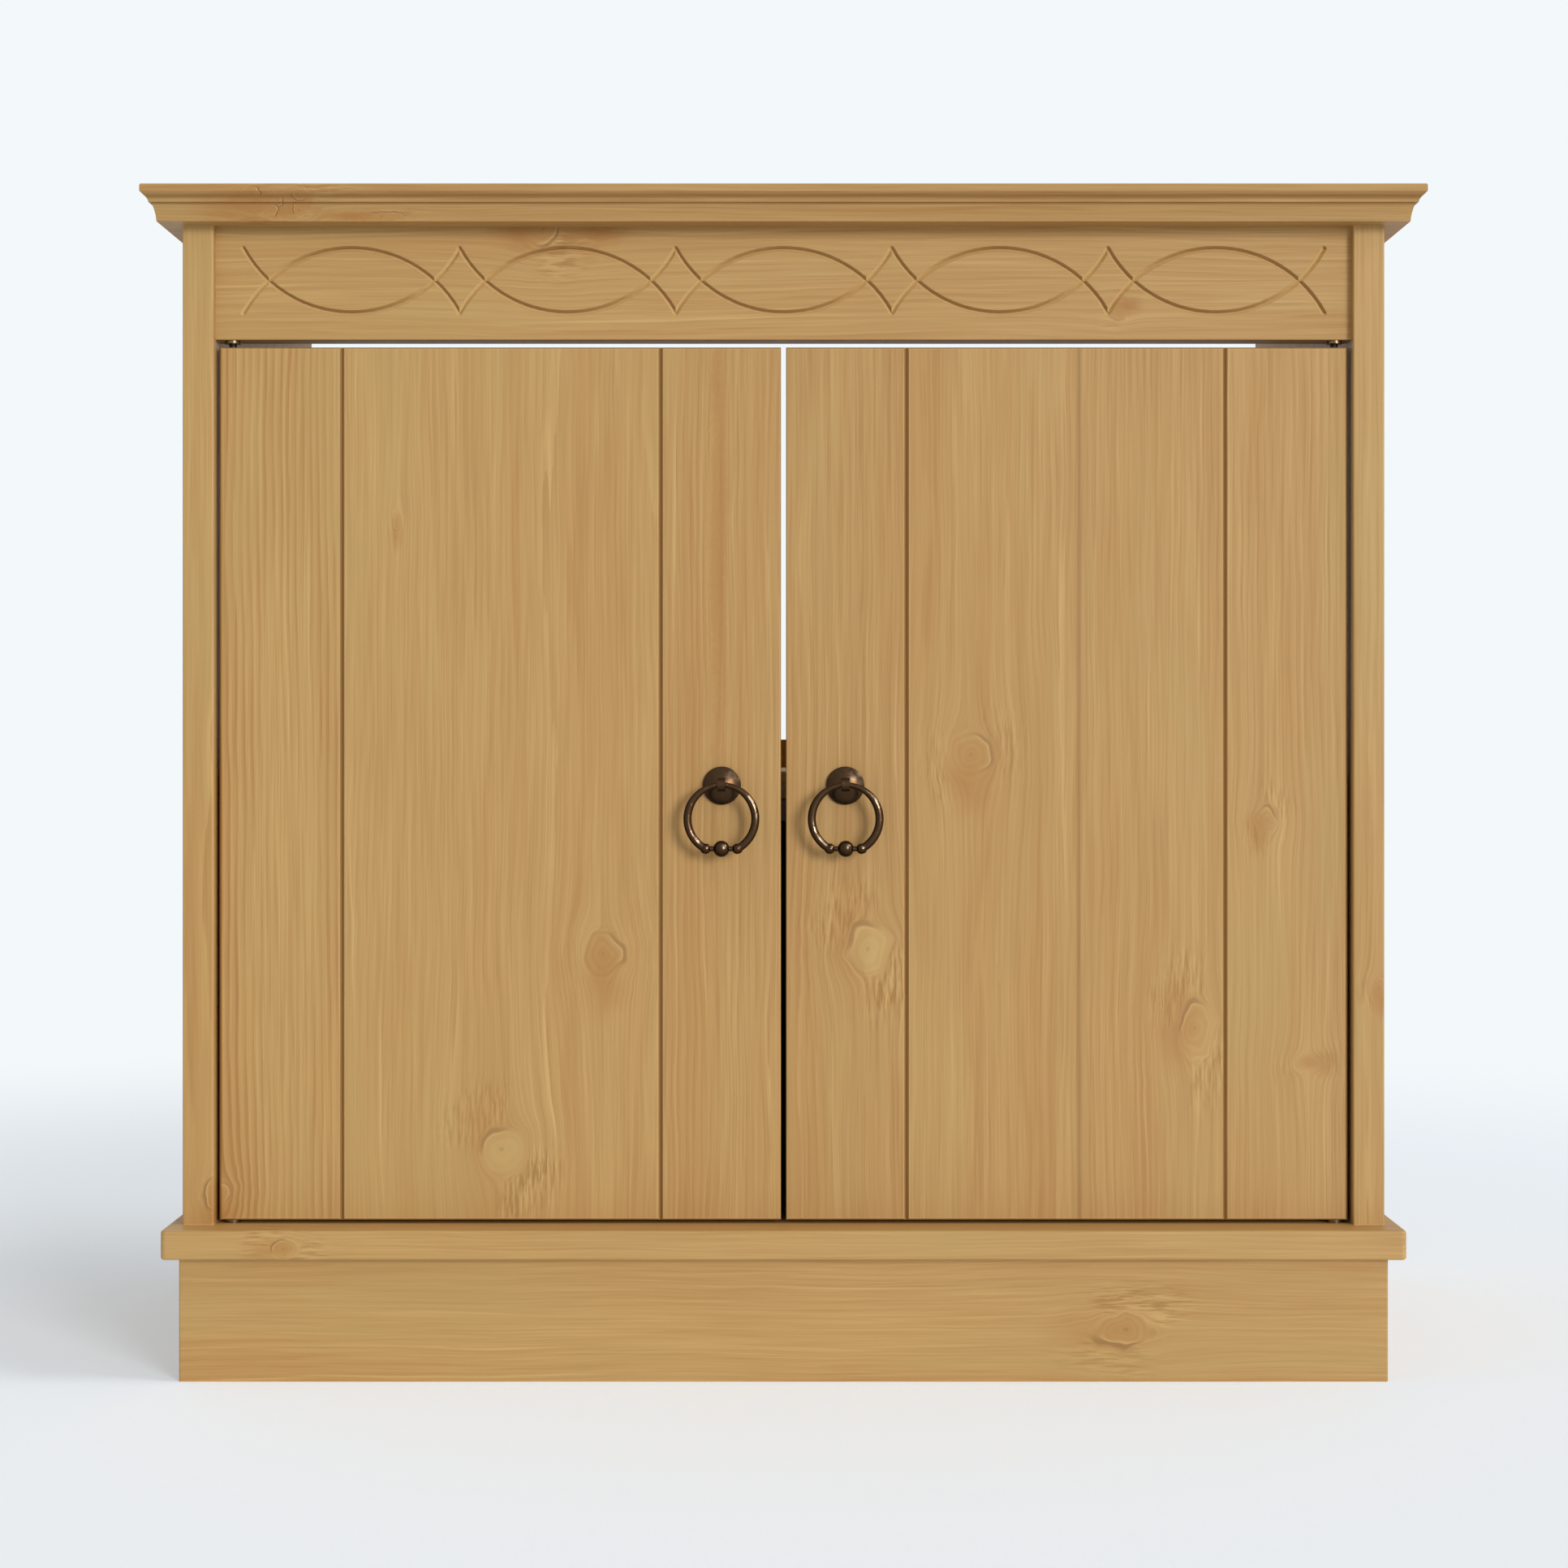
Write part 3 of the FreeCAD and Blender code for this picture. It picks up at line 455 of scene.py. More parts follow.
@dataclass(frozen=True)
class LacqueredPine:
    """Knotty pine, planed, stained to honey and lacquered satin.

    The eye gets fine light streaks along the grain, wide soft bands, thin latewood lines that part round
    pale or brown knots, and a soft sheen. Stain gathers in the V-joints. The carving's walls that face down
    to the left, away from the light, get painted shade and its other walls painted light; the moulding's
    quirks get painted shade and the arrises a painted highlight.
    """

    early_wood: str = "#CBA568"
    late_wood: str = "#A3773F"
    warm_wood: str = "#B48348"
    straw_wood: str = "#B79A5E"
    resin: str = "#A87438"
    pale_heart: str = "#C4A669"
    brown_heart: str = "#B08246"
    bark_line: str = "#80582C"
    # The light lines inside knots, and also the colour of the painted highlights on the arrises and the
    # carving
    light_line: str = "#DDB97F"
    # Stain in the V-joints, and also the colour of the painted shade on the carving and in the quirks
    joint_stain: str = "#7B5024"
    knots: PineKnots = PineKnots()
    # A pine fibre is a few hundredths of a millimetre wide, so bundles of fibres are drawn to let them show
    fibre: Streaks = Streaks(1.0, 75.0)
    strand: Streaks = Streaks(3.0, 110.0, shift=1.7)
    band: Streaks = Streaks(22.0, 420.0, shift=4.1)
    wave: Streaks = Streaks(45.0, 150.0, shift=6.6)
    sway: Streaks = Streaks(60.0, 230.0, shift=9.3)
    sway_mm: float = 12.0
    uneven_mm: float = 2.2
    late_rise: Ramp = (0.2, 0.85, 0.0, 1.0)
    late_fall: Ramp = (0.86, 1.0, 1.0, 0.0)
    late_clear: Ramp = (0.38, 0.7, 0.1, 0.85)
    crest_mm: float = 12.0
    crest_line: Ramp = (0.03, 0.11, 1.0, 0.0)
    crest_clear: Ramp = (0.42, 0.62, 0.0, 0.3)
    fibre_light: Ramp = (0.3, 0.7, 0.38, 0.78)
    strand_light: float = 0.5
    ripple_light: float = 0.24
    straw: Ramp = (0.48, 0.66, 0.0, 0.42)
    warmth: Ramp = (0.42, 0.7, 0.0, 0.4)
    resin_share: float = 0.6
    heart_share: float = 0.6
    bark_share: float = 0.55
    gleam_share: float = 0.4
    strip_shift_mm: float = 97.0
    seam: Ramp = (0.2, 1.7, 0.8, 0.0)
    arris_mm: float = 1.3
    arris_samples: int = 4
    arris_worn: Ramp = (0.98, 0.86, 0.0, 0.6)
    joint_wall: Ramp = (0.05, 0.4, 0.0, 0.52)
    joint_foot: Ramp = (0.6, 1.35, 0.0, 0.34)
    joint_depth_mm: float = 2.2
    carving_wall: Ramp = (0.05, 0.25, 0.0, 1.0)
    carving_depth_mm: float = 3.0
    # Painted shade and painted light on the carving's walls, set by the way each wall faces
    carving_stain: Ramp = (0.1, 0.5, 0.0, 0.6)
    carving_bare: Ramp = (0.0, 0.25, 0.5, 0.0)
    stain_held: Direction = (-0.707, 0.0, -0.707)
    quirk_foot_mm: float = 0.1
    quirk_share: float = 0.5
    end_grain: Ramp = (0.75, 1.0, 0.0, 0.4)
    relief_mm: float = 0.05
    relief_strength: float = 0.7
    bark_relief: float = 0.3
    roughness: Ramp = (0.3, 0.7, 0.6, 0.48)
    specular: float = 0.38

    def lay_out(self, sheet: NodeSheet, board: Board) -> BoardSpace:
        """Find the places across, through and along a board.

        Args:
            sheet: The sheet to draw on.
            board: How the board was sawn.

        Returns:
            The places.
        """
        low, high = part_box(board.node)
        middle = (low + high) / 2 / MM
        coords, millimetres = sheet.measure()
        place = sheet.add("SeparateXYZ", (millimetres,))
        across, deep, along = (place.outputs[axis.value] for axis in (board.across, board.deep, board.grain))
        raw = sheet.add("CombineXYZ", (across, deep, along))
        face = low[board.deep.value] / MM
        pith = (middle[board.across.value] + board.pith[0], middle[board.deep.value] + board.pith[1], 0.0)
        return BoardSpace(coords.outputs["Normal"], across, deep, along, raw, face, pith)

    def draw_grain(self, sheet: NodeSheet, board: Board, space: BoardSpace, marks: KnotMarks) -> Grain:
        """Draw a board's fibres, bands and growth rings, and the seam where two strips are glued.

        Args:
            sheet: The sheet to draw on.
            board: How the board was sawn.
            space: The places on the board.
            marks: What the knots do to the board, which a glue line adds to.

        Returns:
            The patterns.
        """
        if board.glue_line is not None:
            strip = sheet.add("Math GREATER_THAN", (space.across, board.glue_line))
            marks.across = sheet.add("Math MULTIPLY_ADD", (strip, self.strip_shift_mm, marks.across))
            seam = sheet.add("Math SUBTRACT", (space.across, board.glue_line))
            seam = sheet.add("Math ABSOLUTE", (seam,))
            seam = sheet.add("MapRange", (seam, *self.seam))
            marks.bark = sheet.add("Math MAXIMUM", (marks.bark, seam))
        wave = self.wave.draw(sheet, space.raw, board.seed)
        bent = sheet.add("Math MULTIPLY_ADD", (wave, board.wave_mm, marks.across))
        grain = sheet.add("CombineXYZ", (bent, marks.deep, space.along))
        patterns = (self.fibre, self.strand, self.band, self.sway)
        fibre, strand, band, sway = (pattern.draw(sheet, grain, board.seed) for pattern in patterns)

        # Growth rings about the pith, with soft early wood and a thin dark late line
        from_pith = sheet.add("VectorMath SUBTRACT", (grain, space.pith))
        level = sheet.add("VectorMath MULTIPLY", (from_pith, (1.0, 1.0, 0.0)))
        radius = sheet.add("VectorMath LENGTH", (level,)).outputs["Value"]
        swayed = sheet.add("Math MULTIPLY_ADD", (sway, self.sway_mm, radius))
        uneven = sheet.add("Math MULTIPLY_ADD", (strand, self.uneven_mm, swayed))
        count = sheet.add("Math DIVIDE", (uneven, board.ring_mm))
        saw = sheet.add("Math FRACT", (count,))
        rising = sheet.add("MapRange", (saw, *self.late_rise), **SMOOTH)
        falling = sheet.add("MapRange", (saw, *self.late_fall))
        late = sheet.add("Math MULTIPLY", (rising, falling))
        clear = sheet.add("MapRange", (band, *self.late_clear))
        late = sheet.add("Math MULTIPLY", (late, clear))

        # Here and there a ring shows as a thin light line
        crest = sheet.add("Math DIVIDE", (uneven, self.crest_mm))
        crest = sheet.add("Math FRACT", (crest,))
        crest = sheet.add("MapRange", (crest, *self.crest_line), **SMOOTH)
        clear = sheet.add("MapRange", (wave, *self.crest_clear))
        crest = sheet.add("Math MULTIPLY", (crest, clear))
        return Grain(fibre, strand, band, sway, late, crest)

    def wood_coats(self, sheet: NodeSheet, board: Board, grain: Grain, marks: KnotMarks) -> list[Coat]:
        """Colour the wood and its knots.

        Args:
            sheet: The sheet to draw on.
            board: How the board was sawn.
            grain: The board's patterns.
            marks: What the knots do to the board.

        Returns:
            The coats, the lowest first.
        """
        start, end, dark, pale = self.fibre_light
        light = sheet.add("MapRange", (grain.fibre, start, end, dark + board.tone, pale + board.tone))
        light = sheet.add("Math MULTIPLY_ADD", (grain.strand, self.strand_light, light))
        light = sheet.add("Math SUBTRACT", (light, self.strand_light / 2))
        light = sheet.add("Math MULTIPLY_ADD", (marks.ripple, self.ripple_light, light))
        light = sheet.add("Math MULTIPLY_ADD", (grain.late, -board.lines, light), use_clamp=True)
        light = sheet.add("Math ADD", (light, grain.crest), use_clamp=True)
        straw = sheet.add("MapRange", (grain.sway, *self.straw))
        warmth = sheet.add("MapRange", (grain.band, *self.warmth))
        coats = [(light, self.early_wood), (straw, self.straw_wood), (warmth, self.warm_wood)]
        if not board.knots:
            return coats
        shares = (
            (marks.resin, self.resin_share, self.resin),
            (marks.heart, self.heart_share, self.pale_heart),
            (marks.heart, -self.heart_share, self.brown_heart),
            (marks.bark, self.bark_share, self.bark_line),
            (marks.gleam, self.gleam_share, self.light_line),
        )
        for mark, share, colour in shares:
            coats.append((sheet.add("Math MULTIPLY", (mark, share), use_clamp=True), colour))
        return coats

    def surface_coats(self, sheet: NodeSheet, board: Board, space: BoardSpace) -> list[Coat]:
        """Give the arrises a painted highlight, the carving painted light and shade and the quirks painted
        shade, and let stain gather in joints and end grain.

        Args:
            sheet: The sheet to draw on.
            board: How the board was sawn.
            space: The places on the board.

        Returns:
            The coats, the lowest first.
        """
        coats = []
        # Painted highlight: the rounded arrises are coloured pale
        if board.rubbed:
            eased = sheet.add("Bevel", {"Radius": self.arris_mm * MM}, samples=self.arris_samples)
            turned = sheet.add("NewGeometry").outputs["Normal"]
            turned = sheet.add("VectorMath DOT_PRODUCT", (eased, turned)).outputs["Value"]
            coats.append((sheet.add("MapRange", (turned, *self.arris_worn)), self.light_line))
        if board.jointed:
            wall, foot = (
                sheet.add("MapRange", (space.deep, space.face + start, space.face + end, *shares))
                for start, end, *shares in (self.joint_wall, self.joint_foot)
            )
            stain = sheet.add("Math ADD", (wall, foot))
            shallow = sheet.add("Math LESS_THAN", (space.deep, space.face + self.joint_depth_mm))
            coats.append((sheet.add("Math MULTIPLY", (stain, shallow)), self.joint_stain))
        # Painted light and shade: the carving's walls that face down to the left, away from the light, are
        # darkened and the others lightened
        if board.carved:
            start, end, *shares = self.carving_wall
            inside = sheet.add("MapRange", (space.deep, space.face + start, space.face + end, *shares))
            shallow = sheet.add("Math LESS_THAN", (space.deep, space.face + self.carving_depth_mm))
            inside = sheet.add("Math MULTIPLY", (inside, shallow))
            held = sheet.add("VectorMath DOT_PRODUCT", (space.normal, self.stain_held)).outputs["Value"]
            wiped = ((self.carving_stain, self.joint_stain), (self.carving_bare, self.light_line))
            for ramp, colour in wiped:
                share = sheet.add("MapRange", (held, *ramp))
                coats.append((sheet.add("Math MULTIPLY", (share, inside)), colour))
        # Painted shade: a dark line along each quirk of the moulding
        for height, half_width in board.quirks:
            gap = sheet.add("Math SUBTRACT", (space.across, height))
            gap = sheet.add("Math ABSOLUTE", (gap,))
            limits = (gap, self.quirk_foot_mm, half_width, self.quirk_share, 0.0)
            coats.append((sheet.add("MapRange", limits, **SMOOTH), self.joint_stain))

        # End grain drinks more stain
        along = tuple(1.0 if axis is board.grain else 0.0 for axis in Axis)
        facing = sheet.add("VectorMath DOT_PRODUCT", (space.normal, along)).outputs["Value"]
        facing = sheet.add("Math ABSOLUTE", (facing,))
        coats.append((sheet.add("MapRange", (facing, *self.end_grain)), self.late_wood))
        return coats

    def material(self, board: Board) -> bpy.types.Material:
        """Make the board's own material.

        Args:
            board: How the board was sawn.

        Returns:
            The material, in the board's own grain.
        """
        material = bpy.data.materials.new(f"lacquered_pine_{board.node}")
        sheet = NodeSheet(material)
        space = self.lay_out(sheet, board)
        marks = KnotMarks(space.across, space.deep)
        for knot in board.knots:
            self.knots.draw(sheet, knot, space, marks)
        grain = self.draw_grain(sheet, board, space, marks)
        coats = self.wood_coats(sheet, board, grain, marks) + self.surface_coats(sheet, board, space)
        height = sheet.add("Math MULTIPLY_ADD", (grain.late, -1.0, grain.fibre))
        height = sheet.add("Math MULTIPLY_ADD", (marks.bark, -self.bark_relief, height))
        relief = {"Height": height, "Strength": self.relief_strength, "Distance": self.relief_mm * MM}
        feeds = {
            "Base Color": sheet.lay_coats(self.late_wood, coats),
            "Roughness": sheet.add("MapRange", (grain.fibre, *self.roughness)),
            "Normal": sheet.add("Bump", relief),
            "Specular IOR Level": self.specular,
        }
        sheet.add("OutputMaterial", (sheet.add("BsdfPrincipled", feeds),))
        return material


@dataclass(frozen=True)
class Plywood:
    """Thin plywood, rotary cut and left bare.

    The eye gets a pale face with wide lazy figure, and thin darker plies on the cut edge.
    """

    face: str = "#D3B382"
    figure: str = "#BC955F"
    cross_ply: str = "#8F6840"
    cross_share: float = 0.7
    ply_mm: float = 1.33
    ply_edge_mm: float = 0.1
    figure_mm: float = 34.0
    figure_run_mm: float = 306.0
    figure_detail: float = 3.0
    figure_twist: float = 0.6
    figure_loops: float = 9.0
    relief_mm: float = 0.04
    relief_strength: float = 0.4
    roughness: float = 0.62

    def material(self, node: str) -> bpy.types.Material:
        """Make the panel's material.

        Args:
            node: The panel's CAD node.

        Returns:
            The material.
        """
        material = bpy.data.materials.new("bare_plywood")
        sheet = NodeSheet(material)
        low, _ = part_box(node)
        _, millimetres = sheet.measure()
        scale = (1 / self.figure_mm, 1 / self.figure_mm, 1 / self.figure_run_mm)
        drawn = sheet.add("VectorMath MULTIPLY", (millimetres, scale))
        feeds = {"Vector": drawn, "Scale": 1.0, "Detail": self.figure_detail, "Distortion": self.figure_twist}
        loops = sheet.add("TexNoise", feeds)
        loops = sheet.add("Math MULTIPLY", (loops, self.figure_loops))
        loops = sheet.add("Math PINGPONG", (loops, 1.0))

        # The middle one of three plies runs across
        place = sheet.add("SeparateXYZ", (millimetres,)).outputs[Axis.Y.value]
        core = low[Axis.Y.value] / MM + 1.5 * self.ply_mm
        ply = sheet.add("Math SUBTRACT", (place, core))
        ply = sheet.add("Math ABSOLUTE", (ply,))
        edge = self.ply_mm / 2
        middle = sheet.add("MapRange", (ply, edge, edge + self.ply_edge_mm, self.cross_share, 0.0))
        relief = {"Height": loops, "Strength": self.relief_strength, "Distance": self.relief_mm * MM}
        feeds = {
            "Base Color": sheet.lay_coats(self.face, [(loops, self.figure), (middle, self.cross_ply)]),
            "Roughness": self.roughness,
            "Normal": sheet.add("Bump", relief),
        }
        sheet.add("OutputMaterial", (sheet.add("BsdfPrincipled", feeds),))
        return material


@dataclass(frozen=True)
class FineSurface:
    """A surface whose colour and sheen vary over a millimetre or so.

    Fields: the material's name, its two colours, the size of their patches, how rough each is, the depth of
    the surface's grain in millimetres, whether it is metal, and how its patches and pits are drawn. Real
    grains of these materials are mostly under a tenth of a millimetre, so the patches and pits are drawn
    coarser, to let them show.
    """

    name: str
    bright: str
    dull: str
    patch_mm: float
    bright_roughness: float
    dull_roughness: float
    grain_mm: float
    metallic: float = 1.0
    patch_detail: float = 4.0
    patch_share: Ramp = (0.36, 0.64, 0.0, 1.0)
    sheen: Span = (0.3, 0.7)
    pits_per_patch: float = 4.0
    pit_detail: float = 3.0
    relief_strength: float = 0.5

    def material(self) -> bpy.types.Material:
        """Make the material, or give it again if it is made.

        Returns:
            The material.
        """
        made = bpy.data.materials.get(self.name)
        if made:
            return made
        material = bpy.data.materials.new(self.name)
        sheet = NodeSheet(material)
        _, millimetres = sheet.measure()
        feeds = {"Vector": millimetres, "Scale": 1 / self.patch_mm, "Detail": self.patch_detail}
        patches = sheet.add("TexNoise", feeds)
        share = sheet.add("MapRange", (patches, *self.patch_share))
        rough = (patches, *self.sheen, self.dull_roughness, self.bright_roughness)
        scale = self.pits_per_patch / self.patch_mm
        feeds = {"Vector": millimetres, "Scale": scale, "Detail": self.pit_detail}
        pits = sheet.add("TexNoise", feeds)
        relief = {"Height": pits, "Strength": self.relief_strength, "Distance": self.grain_mm * MM}
        feeds = {
            "Base Color": sheet.lay_coats(self.dull, [(share, self.bright)]),
            "Roughness": sheet.add("MapRange", rough),
            "Normal": sheet.add("Bump", relief),
            "Metallic": self.metallic,
        }
        sheet.add("OutputMaterial", (sheet.add("BsdfPrincipled", feeds),))
        return material


# Bright zinc plate on steel: a cold grey with faint spangle
ZINC_STEEL = FineSurface(
    "zinc_plated_steel", bright="#C9CBCC", dull="#A3A6A9", patch_mm=1.5,
    bright_roughness=0.28, dull_roughness=0.42, grain_mm=0.01,
)
# Sintered bronze soaked in oil: dark, dull and finely grained
SINTERED_BRONZE = FineSurface(
    "sintered_bronze", bright="#34271A", dull="#281D12", patch_mm=0.6,
    bright_roughness=0.62, dull_roughness=0.7, grain_mm=0.02,
)
# Phosphated steel: near black and dull
PHOSPHATED_STEEL = FineSurface(
    "phosphated_steel", bright="#302F2E", dull="#232221", patch_mm=1.0,
    bright_roughness=0.45, dull_roughness=0.55, grain_mm=0.01,
)
# Ground ferrite: near black, dull, finely pitted
FERRITE = FineSurface(
    "ground_ferrite", bright="#3A3A3C", dull="#232325", patch_mm=0.8,
    bright_roughness=0.5, dull_roughness=0.65, grain_mm=0.02, metallic=0.2,
)
# Moulded ABS in brown: an even colour with a fine spark-eroded grain
BROWN_ABS = FineSurface(
    "moulded_brown_abs", bright="#6B4A30", dull="#5D3F28", patch_mm=1.2,
    bright_roughness=0.5, dull_roughness=0.58, grain_mm=0.03, metallic=0.0,
)
# Raw beech: pale pinkish brown with fine flecks
RAW_BEECH = FineSurface(
    "raw_beech", bright="#D7B48D", dull="#C19A70", patch_mm=1.6,
    bright_roughness=0.6, dull_roughness=0.7, grain_mm=0.03, metallic=0.0,
)


@dataclass(frozen=True)
class AntiqueBronze:
    """Cast brass under a dark brown patina.

    The eye gets a slow patchy tone of its own; over it, painted shade makes the surfaces that turn away
    from the light near black, and painted light makes those that turn to it brown with thin cream highlights.
    """

    hollow: str = "#1F160F"
    patina: str = "#4E3927"
    # The cream of the painted highlight
    bare: str = "#C8B496"
    # Towards the light: surfaces that face this way get the painted light, those turned away the painted
    # shade
    rubbed_towards: Direction = (0.34, -0.9, 0.27)
    rubbed: float = 0.7
    patch_mm: float = 3.0
    patch_detail: float = 2.0
    patch_strength: float = 0.3
    rounds: Ramp = (0.45, 1.15, 0.0, 1.0)
    ridge: Span = (1.11, 1.22)
    roughness: float = 0.3

    def material(self) -> bpy.types.Material:
        """Make the bronze, or give it again if it is made.

        Returns:
            The material.
        """
        name = f"antique_bronze_rubbed_{round(100 * self.rubbed)}"
        made = bpy.data.materials.get(name)
        if made:
            return made
        material = bpy.data.materials.new(name)
        sheet = NodeSheet(material)
        coords, millimetres = sheet.measure()
        feeds = {"Vector": millimetres, "Scale": 1 / self.patch_mm, "Detail": self.patch_detail}
        patches = sheet.add("TexNoise", feeds)
        # Painted light and shade: near black where the surface turns away from the light, brown and a cream
        # painted highlight where it faces it
        feeds = (coords.outputs["Normal"], self.rubbed_towards)
        front = sheet.add("VectorMath DOT_PRODUCT", feeds).outputs["Value"]
        uneven = sheet.add("Math MULTIPLY_ADD", (patches, self.patch_strength, front))
        rounds = sheet.add("MapRange", (uneven, *self.rounds))
        ridge = sheet.add("MapRange", (uneven, *self.ridge, 0.0, self.rubbed))
        feeds = {
            "Base Color": sheet.lay_coats(self.hollow, [(rounds, self.patina), (ridge, self.bare)]),
            "Metallic": 1.0,
            "Roughness": self.roughness,
        }
        sheet.add("OutputMaterial", (sheet.add("BsdfPrincipled", feeds),))
        return material


def dress(node: str, material: bpy.types.Material) -> None:
    """Give a CAD node's surface its material.

    Args:
        node: The CAD node.
        material: The material for all of its slots.
    """
    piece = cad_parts[node]
    if not piece.material_slots:
        piece.data.materials.append(material)
    for slot in piece.material_slots:
        slot.material = material
    log.info("%s is dressed in %s", node, material.name)


def new_piece(name: str, mesh: bmesh.types.BMesh, material: bpy.types.Material) -> bpy.types.Object:
    """Turn a finished mesh into a smooth shaded piece.

    Args:
        name: The piece's name.
        mesh: The mesh, in metres of the row frame.
        material: Its material.

    Returns:
        The piece, linked to the scene.
    """
    bmesh.ops.recalc_face_normals(mesh, faces=mesh.faces)
    data = bpy.data.meshes.new(name)
    mesh.to_mesh(data)
    mesh.free()
    data.materials.append(material)
    data.polygons.foreach_set("use_smooth", [True] * len(data.polygons))
    piece = bpy.data.objects.new(name, data)
    bpy.context.scene.collection.objects.link(piece)
    log.info("%s has %d faces", name, len(data.polygons))
    return piece


@dataclass(frozen=True)
class RingPull:
    """A ring that hangs in the eye of a domed rosette, with a ball and two beads at its foot."""

    side: Side
    top_wire_mm: float = 1.35
    side_wire_mm: float = 2.1
    taper_from: float = 0.55
    foot_degrees: float = 28.0
    ball_mm: float = 4.2
    bead_mm: float = 2.75
    neck_mm: float = 1.3
    cad_wire_mm: float = 1.9
    wire_sides: int = 24
    step_mm: float = 1.0
    fine_step_mm: float = 0.15
    fine_reach_mm: float = 13.0
    # The strength of the rosette's painted highlight
    rosette_rubbed: float = 0.2

    def wire_radius(self, travel: float, half_foot: float, half_round: float) -> float:
        """Give the ring's thickness, all in millimetres.

        Args:
            travel: The distance from the foot's middle, along the wire.
            half_foot: Half the straight foot's length.
            half_round: The distance from the foot's middle to the top.

        Returns:
            The wire's radius there.
        """
        reach = abs(travel)
        share = max(0.0, (reach / half_round - self.taper_from) / (1 - self.taper_from))
        wire = self.side_wire_mm + (self.top_wire_mm - self.side_wire_mm) * share * share * (3 - 2 * share)
        if reach < half_foot:
            wire = self.neck_mm
        ball = math.sqrt(max(0.0, self.ball_mm**2 - reach**2))
        bead = math.sqrt(max(0.0, self.bead_mm**2 - (reach - half_foot) ** 2))
        return max(wire, ball, bead)

    def stations(self, half_round: float) -> list[float]:
        """Give the places along the wire that get a loop, closer together about the foot.

        Args:
            half_round: The distance from the foot's middle to the top.

        Returns:
            Distances from the foot's middle, in millimetres.
        """
        fine = self.fine_reach_mm
        steps = [-half_round + self.step_mm * i for i in range(int((half_round - fine) / self.step_mm))]
        steps += [-fine + self.fine_step_mm * i for i in range(int(fine / self.fine_step_mm))]
        return steps + [0.0] + [-step for step in reversed(steps[1:])]

    def build_ring(self) -> None:
        """Build the ring as one closed tube along a round with a straight foot."""
        node = f"ring_{self.side.value}"
        low, high = (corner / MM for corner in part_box(node))
        radius = (high.x - low.x) / 2 - self.cad_wire_mm
        top = high.z - self.cad_wire_mm
        middle = Vector(((low.x + high.x) / 2, (low.y + high.y) / 2, top - radius))
        foot_angle = math.radians(self.foot_degrees)
        half_foot = radius * math.sin(foot_angle)
        half_round = half_foot + radius * (math.pi - foot_angle)
        mesh = bmesh.new()
        loops = []
        for travel in self.stations(half_round):
            if abs(travel) <= half_foot:
                spot = Vector((travel, 0.0, -radius * math.cos(foot_angle)))
                turn = 0.0
            else:
                turn = foot_angle + (abs(travel) - half_foot) / radius
                turn = math.copysign(turn, travel)
                spot = Vector((math.sin(turn), 0.0, -math.cos(turn))) * radius
            outward = Vector((math.sin(turn), 0.0, -math.cos(turn)))
            wire = self.wire_radius(travel, half_foot, half_round)
            loop = []
            for i in range(self.wire_sides):
                angle = 2 * math.pi * i / self.wire_sides
                rim = outward * math.cos(angle) + Vector((0.0, 1.0, 0.0)) * math.sin(angle)
                loop.append(mesh.verts.new((middle + spot + rim * wire) * MM))
            loops.append(loop)
        for before, after in zip(loops, loops[1:] + loops[:1]):
            for i in range(self.wire_sides):
                j = (i + 1) % self.wire_sides
                mesh.faces.new((before[i], before[j], after[j], after[i]))
        piece = new_piece(f"{node}_cast", mesh, AntiqueBronze().material())
        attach(piece, node)
        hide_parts(node)

    def dress(self) -> None:
        """Build the ring and dress the CAD pieces that carry it."""
        self.build_ring()
        dress(f"pull_{self.side.value}_rosette", AntiqueBronze(rubbed=self.rosette_rubbed).material())
        dress(f"pull_{self.side.value}_screw", ZINC_STEEL.material())
        dress(f"pull_{self.side.value}_washer", ZINC_STEEL.material())


@dataclass(frozen=True)
class Door:
    """A door of three upright boards on two battens, with its pivots, strike and ring pull."""

    side: Side
    boards: tuple[Board, ...]
    batten_seed: float
    batten_pith: Span = (30.0, 60.0)
    batten_ring_mm: float = 3.0

    def dress(self, pine: LacqueredPine) -> None:
        """Dress the door's CAD nodes.

        Args:
            pine: The finish of its boards.
        """
        door = f"door_{self.side.value}"
        for board in self.boards:
            dress(board.node, pine.material(board))
        for node in (f"{door}_lower_batten", f"{door}_upper_batten"):
            batten = Board(node, Axis.X, Axis.Z, self.batten_pith, self.batten_ring_mm, self.batten_seed)
            dress(node, pine.material(batten))
        for node in ("batten_screws", "strike", "strike_screw"):
            dress(f"{door}_{node}", ZINC_STEEL.material())
        dress(f"{door}_pivot_pins", PHOSPHATED_STEEL.material())
        RingPull(self.side).dress()


# Boards by how they lie: upright in a door, upright at a side, level across, and level from front to back
DoorBoard = partial(Board, grain=Axis.Z, across=Axis.X, jointed=True, rubbed=True)
SidePanel = partial(Board, grain=Axis.Z, across=Axis.X, ring_mm=3.4, rubbed=True)
LevelBoard = partial(Board, grain=Axis.X, across=Axis.Z)
DeepBoard = partial(Board, grain=Axis.Y, across=Axis.Z)

